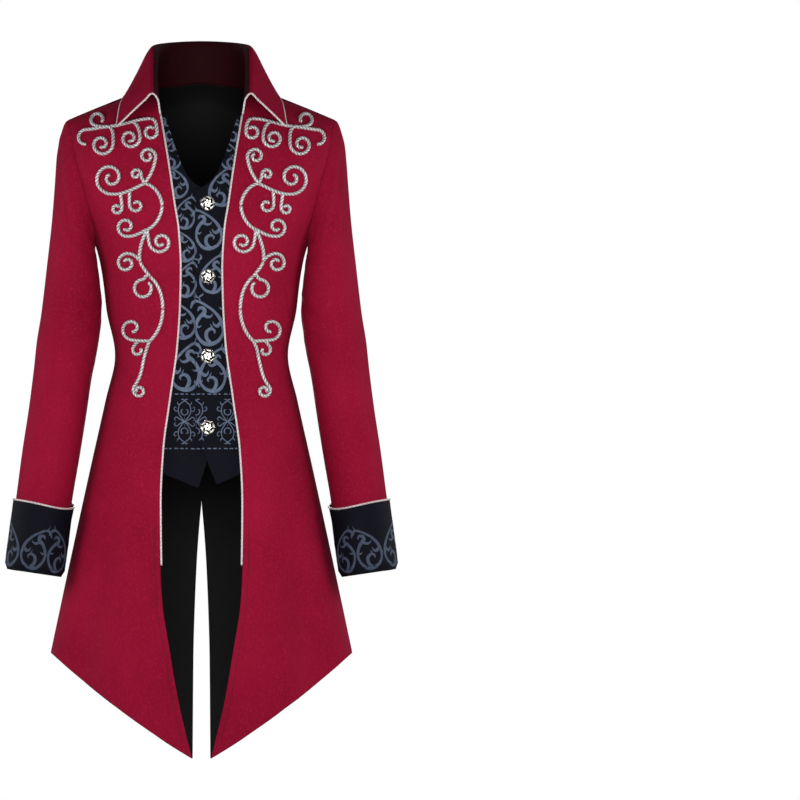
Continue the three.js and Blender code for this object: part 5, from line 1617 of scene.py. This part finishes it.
def topstitch(name):
    """A row of short stitches sunk in both fronts beside their lower edges, each a small spindle
    between two places of the line."""
    drops = np.linspace(TOPSTITCH["start"], TOPSTITCH["end"], 760)
    sizes = np.array([0.08, 0.5, 0.58, 0.5, 0.08])[:, None]
    turn = np.linspace(0, 2 * np.pi, 6)[:-1]
    cells, ids = ring_faces(5, 5)
    spindle = [*cells[:, ::-1], ids[0], ids[-1][::-1]]
    points, faces = [], []
    for hand in (-1, 1):
        x = hand * (front_edge_x(drops) + TOPSTITCH["from_edge"])
        middle, normals = laid(x, drops, FRONT, np.full(len(drops), TOPSTITCH["sunk"]))
        for i in range(0, len(drops) - 4, 6):
            path, up = middle[i : i + 5], normals[i : i + 5]
            across = np.cross(unit(np.gradient(path, axis=0)), up)
            faces += [face + ids.size * len(points) for face in spindle]
            points.append(round_points(path, across, up, sizes, turn))
    every = np.concatenate(points)
    piece = make_mesh(name, every, faces, [stitch_thread], uv=np.zeros((len(every), 2)))


# Making the coat

# The back's neck rim is crimson painted darker as shade.
middle_back("back_cloth", 0, CLOTH, "back", [*CRIMSON_BLACK, shaded_crimson])
middle_back("back_lining_cloth", CLOTH + SEAM, LINING, "back_lining", [black_lining, black_lining])
for hand, own in NAMES.items():
    front = front_grid(hand)
    neck_rows = int((front[1][:, 0] <= front_neck(np.array([1.0]))[1][0] + 0.5).sum())
    panel("front_cloth_" + own, front, FRONT, hand, "front_" + own, CRIMSON_BLACK, neck_rows)
    panel("back_side_cloth_" + own, back_side_grid(hand), BACK, hand, "back_side_" + own, CRIMSON_BLACK)
    sleeve("sleeve_cloth_" + own, hand, "sleeve_" + own)
    cuff("cuff_cloth_" + own, hand, "cuff_" + own)
    waistcoat("waistcoat_cloth_" + own, hand, "waistcoat_" + own)
    cord_scrolls("cord_chest_" + own, CHEST, FRONT, [hand], "scrolls_chest_" + own)
    cord_scrolls("cord_shoulder_" + own, SHOULDERS, FRONT, [hand], "scrolls_shoulder_" + own)
    front_piping(hand)
    cuff_piping(hand)
cord_scrolls("cord_back", LOWER_BACK, BACK, [-1, 1], "scrolls_back")
piping("collar_piping", collar("collar_cloth", "collar"), "piping_collar")
for hand, own in NAMES.items():
    woven = brocade_figures(hand)
    lay_bands("waistcoat_figures_" + own, woven, waistcoat_place(hand), out_of_waistcoat, blue_figure)
    lay_bands("cuff_figures_" + own, cuff_figures(), cuff_place(hand), out_of_cuff, cuff_figure)
for i, drop in enumerate(BUTTON_DROPS):
    button("silver_button_%d" % (i + 1), drop, "button_%d" % (i + 1))
topstitch("edge_topstitch")

# Camera, light, floor and background


def white_background():
    """White to the camera, dimmer to a shine, and weaker still as light."""
    world = bpy.data.worlds.new("studio")
    bpy.context.scene.world = world
    world.use_nodes = True
    tree = world.node_tree
    dim = tree.nodes["Background"]
    dim.inputs["Color"].default_value = (1, 1, 1, 1)
    dim.inputs["Strength"].default_value = 0.13
    bright = add(tree, "ShaderNodeBackground", {"Color": (1, 1, 1, 1), "Strength": 1.0})
    choice = add(tree, "ShaderNodeMixShader")
    rays = add(tree, "ShaderNodeLightPath")
    seen = add(tree, "ShaderNodeMath", {1: 0.38}, operation="MULTIPLY_ADD")
    tree.links.new(rays.outputs["Is Glossy Ray"], seen.inputs[0])
    tree.links.new(rays.outputs["Is Camera Ray"], seen.inputs[2])
    tree.links.new(seen.outputs[0], choice.inputs[0])
    tree.links.new(dim.outputs[0], choice.inputs[1])
    tree.links.new(bright.outputs[0], choice.inputs[2])
    tree.links.new(choice.outputs[0], tree.nodes["World Output"].inputs["Surface"])


def area_light(name, place, aim, power, color=(1, 1, 1)):
    """A square soft light that faces a point."""
    data = bpy.data.lights.new(name, "AREA")
    data.size = LIGHT_SIZE
    data.energy = power
    data.color = color
    light = add_object(name, data)
    light.visible_camera = False
    light.location = place
    towards = np.array(aim, float) - np.array(place, float)
    flat = np.hypot(towards[0], towards[1])
    light.rotation_euler = (np.arctan2(flat, -towards[2]), 0, np.arctan2(-towards[0], towards[1]))


def lights(name, side, share):
    """A key light straight ahead of one side of the coat, and one far out to each hand."""
    place = (0, KEY_LIGHT["y"] * side, KEY_LIGHT["z"])
    power = KEY_LIGHT["power"] * share
    area_light(name + "_key", place, (0, 0, KEY_LIGHT["aim_z"]), power, (1, 0.985, 0.97))
    for hand, own in NAMES.items():
        place = (SIDE_LIGHT["x"] * hand, SIDE_LIGHT["y"] * side, SIDE_LIGHT["z"])
        aim = (SIDE_LIGHT["aim_x"] * hand, 0, SIDE_LIGHT["aim_z"])
        area_light("%s_side_%s" % (name, own), place, aim, SIDE_LIGHT["power"] * share)


def pale_floor():
    """A floor below the coat, mottled by a broad noise, that glows to the camera alone."""
    mesh = bpy.data.meshes.new("floor")
    half, z = FLOOR["half"], FLOOR["z"]
    corners = [(-half, -half, z), (half, -half, z), (half, half, z), (-half, half, z)]
    mesh.from_pydata(corners, [], [(0, 1, 2, 3)])
    material, tree, shader = new_material("pale floor", 0.8)
    noise = add(tree, "ShaderNodeTexNoise", {"Scale": 3.0})
    color = blend_colors(tree, noise.outputs["Fac"], (0.82, 0.82, 0.82, 1), (0.88, 0.88, 0.88, 1))
    tree.links.new(color, shader.inputs["Base Color"])
    rays = add(tree, "ShaderNodeLightPath")
    glow = add(tree, "ShaderNodeMath", {1: 0.6}, operation="MULTIPLY")
    tree.links.new(rays.outputs["Is Camera Ray"], glow.inputs[0])
    shader.inputs["Emission Color"].default_value = (1, 1, 1, 1)
    tree.links.new(glow.outputs[0], shader.inputs["Emission Strength"])
    mesh.materials.append(material)
    add_object("floor", mesh)


camera_data = bpy.data.cameras.new("camera")
camera_data.type = "ORTHO"
camera_data.ortho_scale = CAMERA_WIDTH
camera = add_object("camera", camera_data)
camera.location = CAMERA_PLACE
camera.rotation_euler = (np.pi / 2, 0, 0)
bpy.context.scene.camera = camera
white_background()
lights("front", FRONT, 1)
lights("back", BACK, BACK_SHARE)
pale_floor()

bpy.context.scene.view_settings.view_transform = "Standard"
bpy.context.scene.view_settings.look = "None"

bpy.context.view_layer.update()
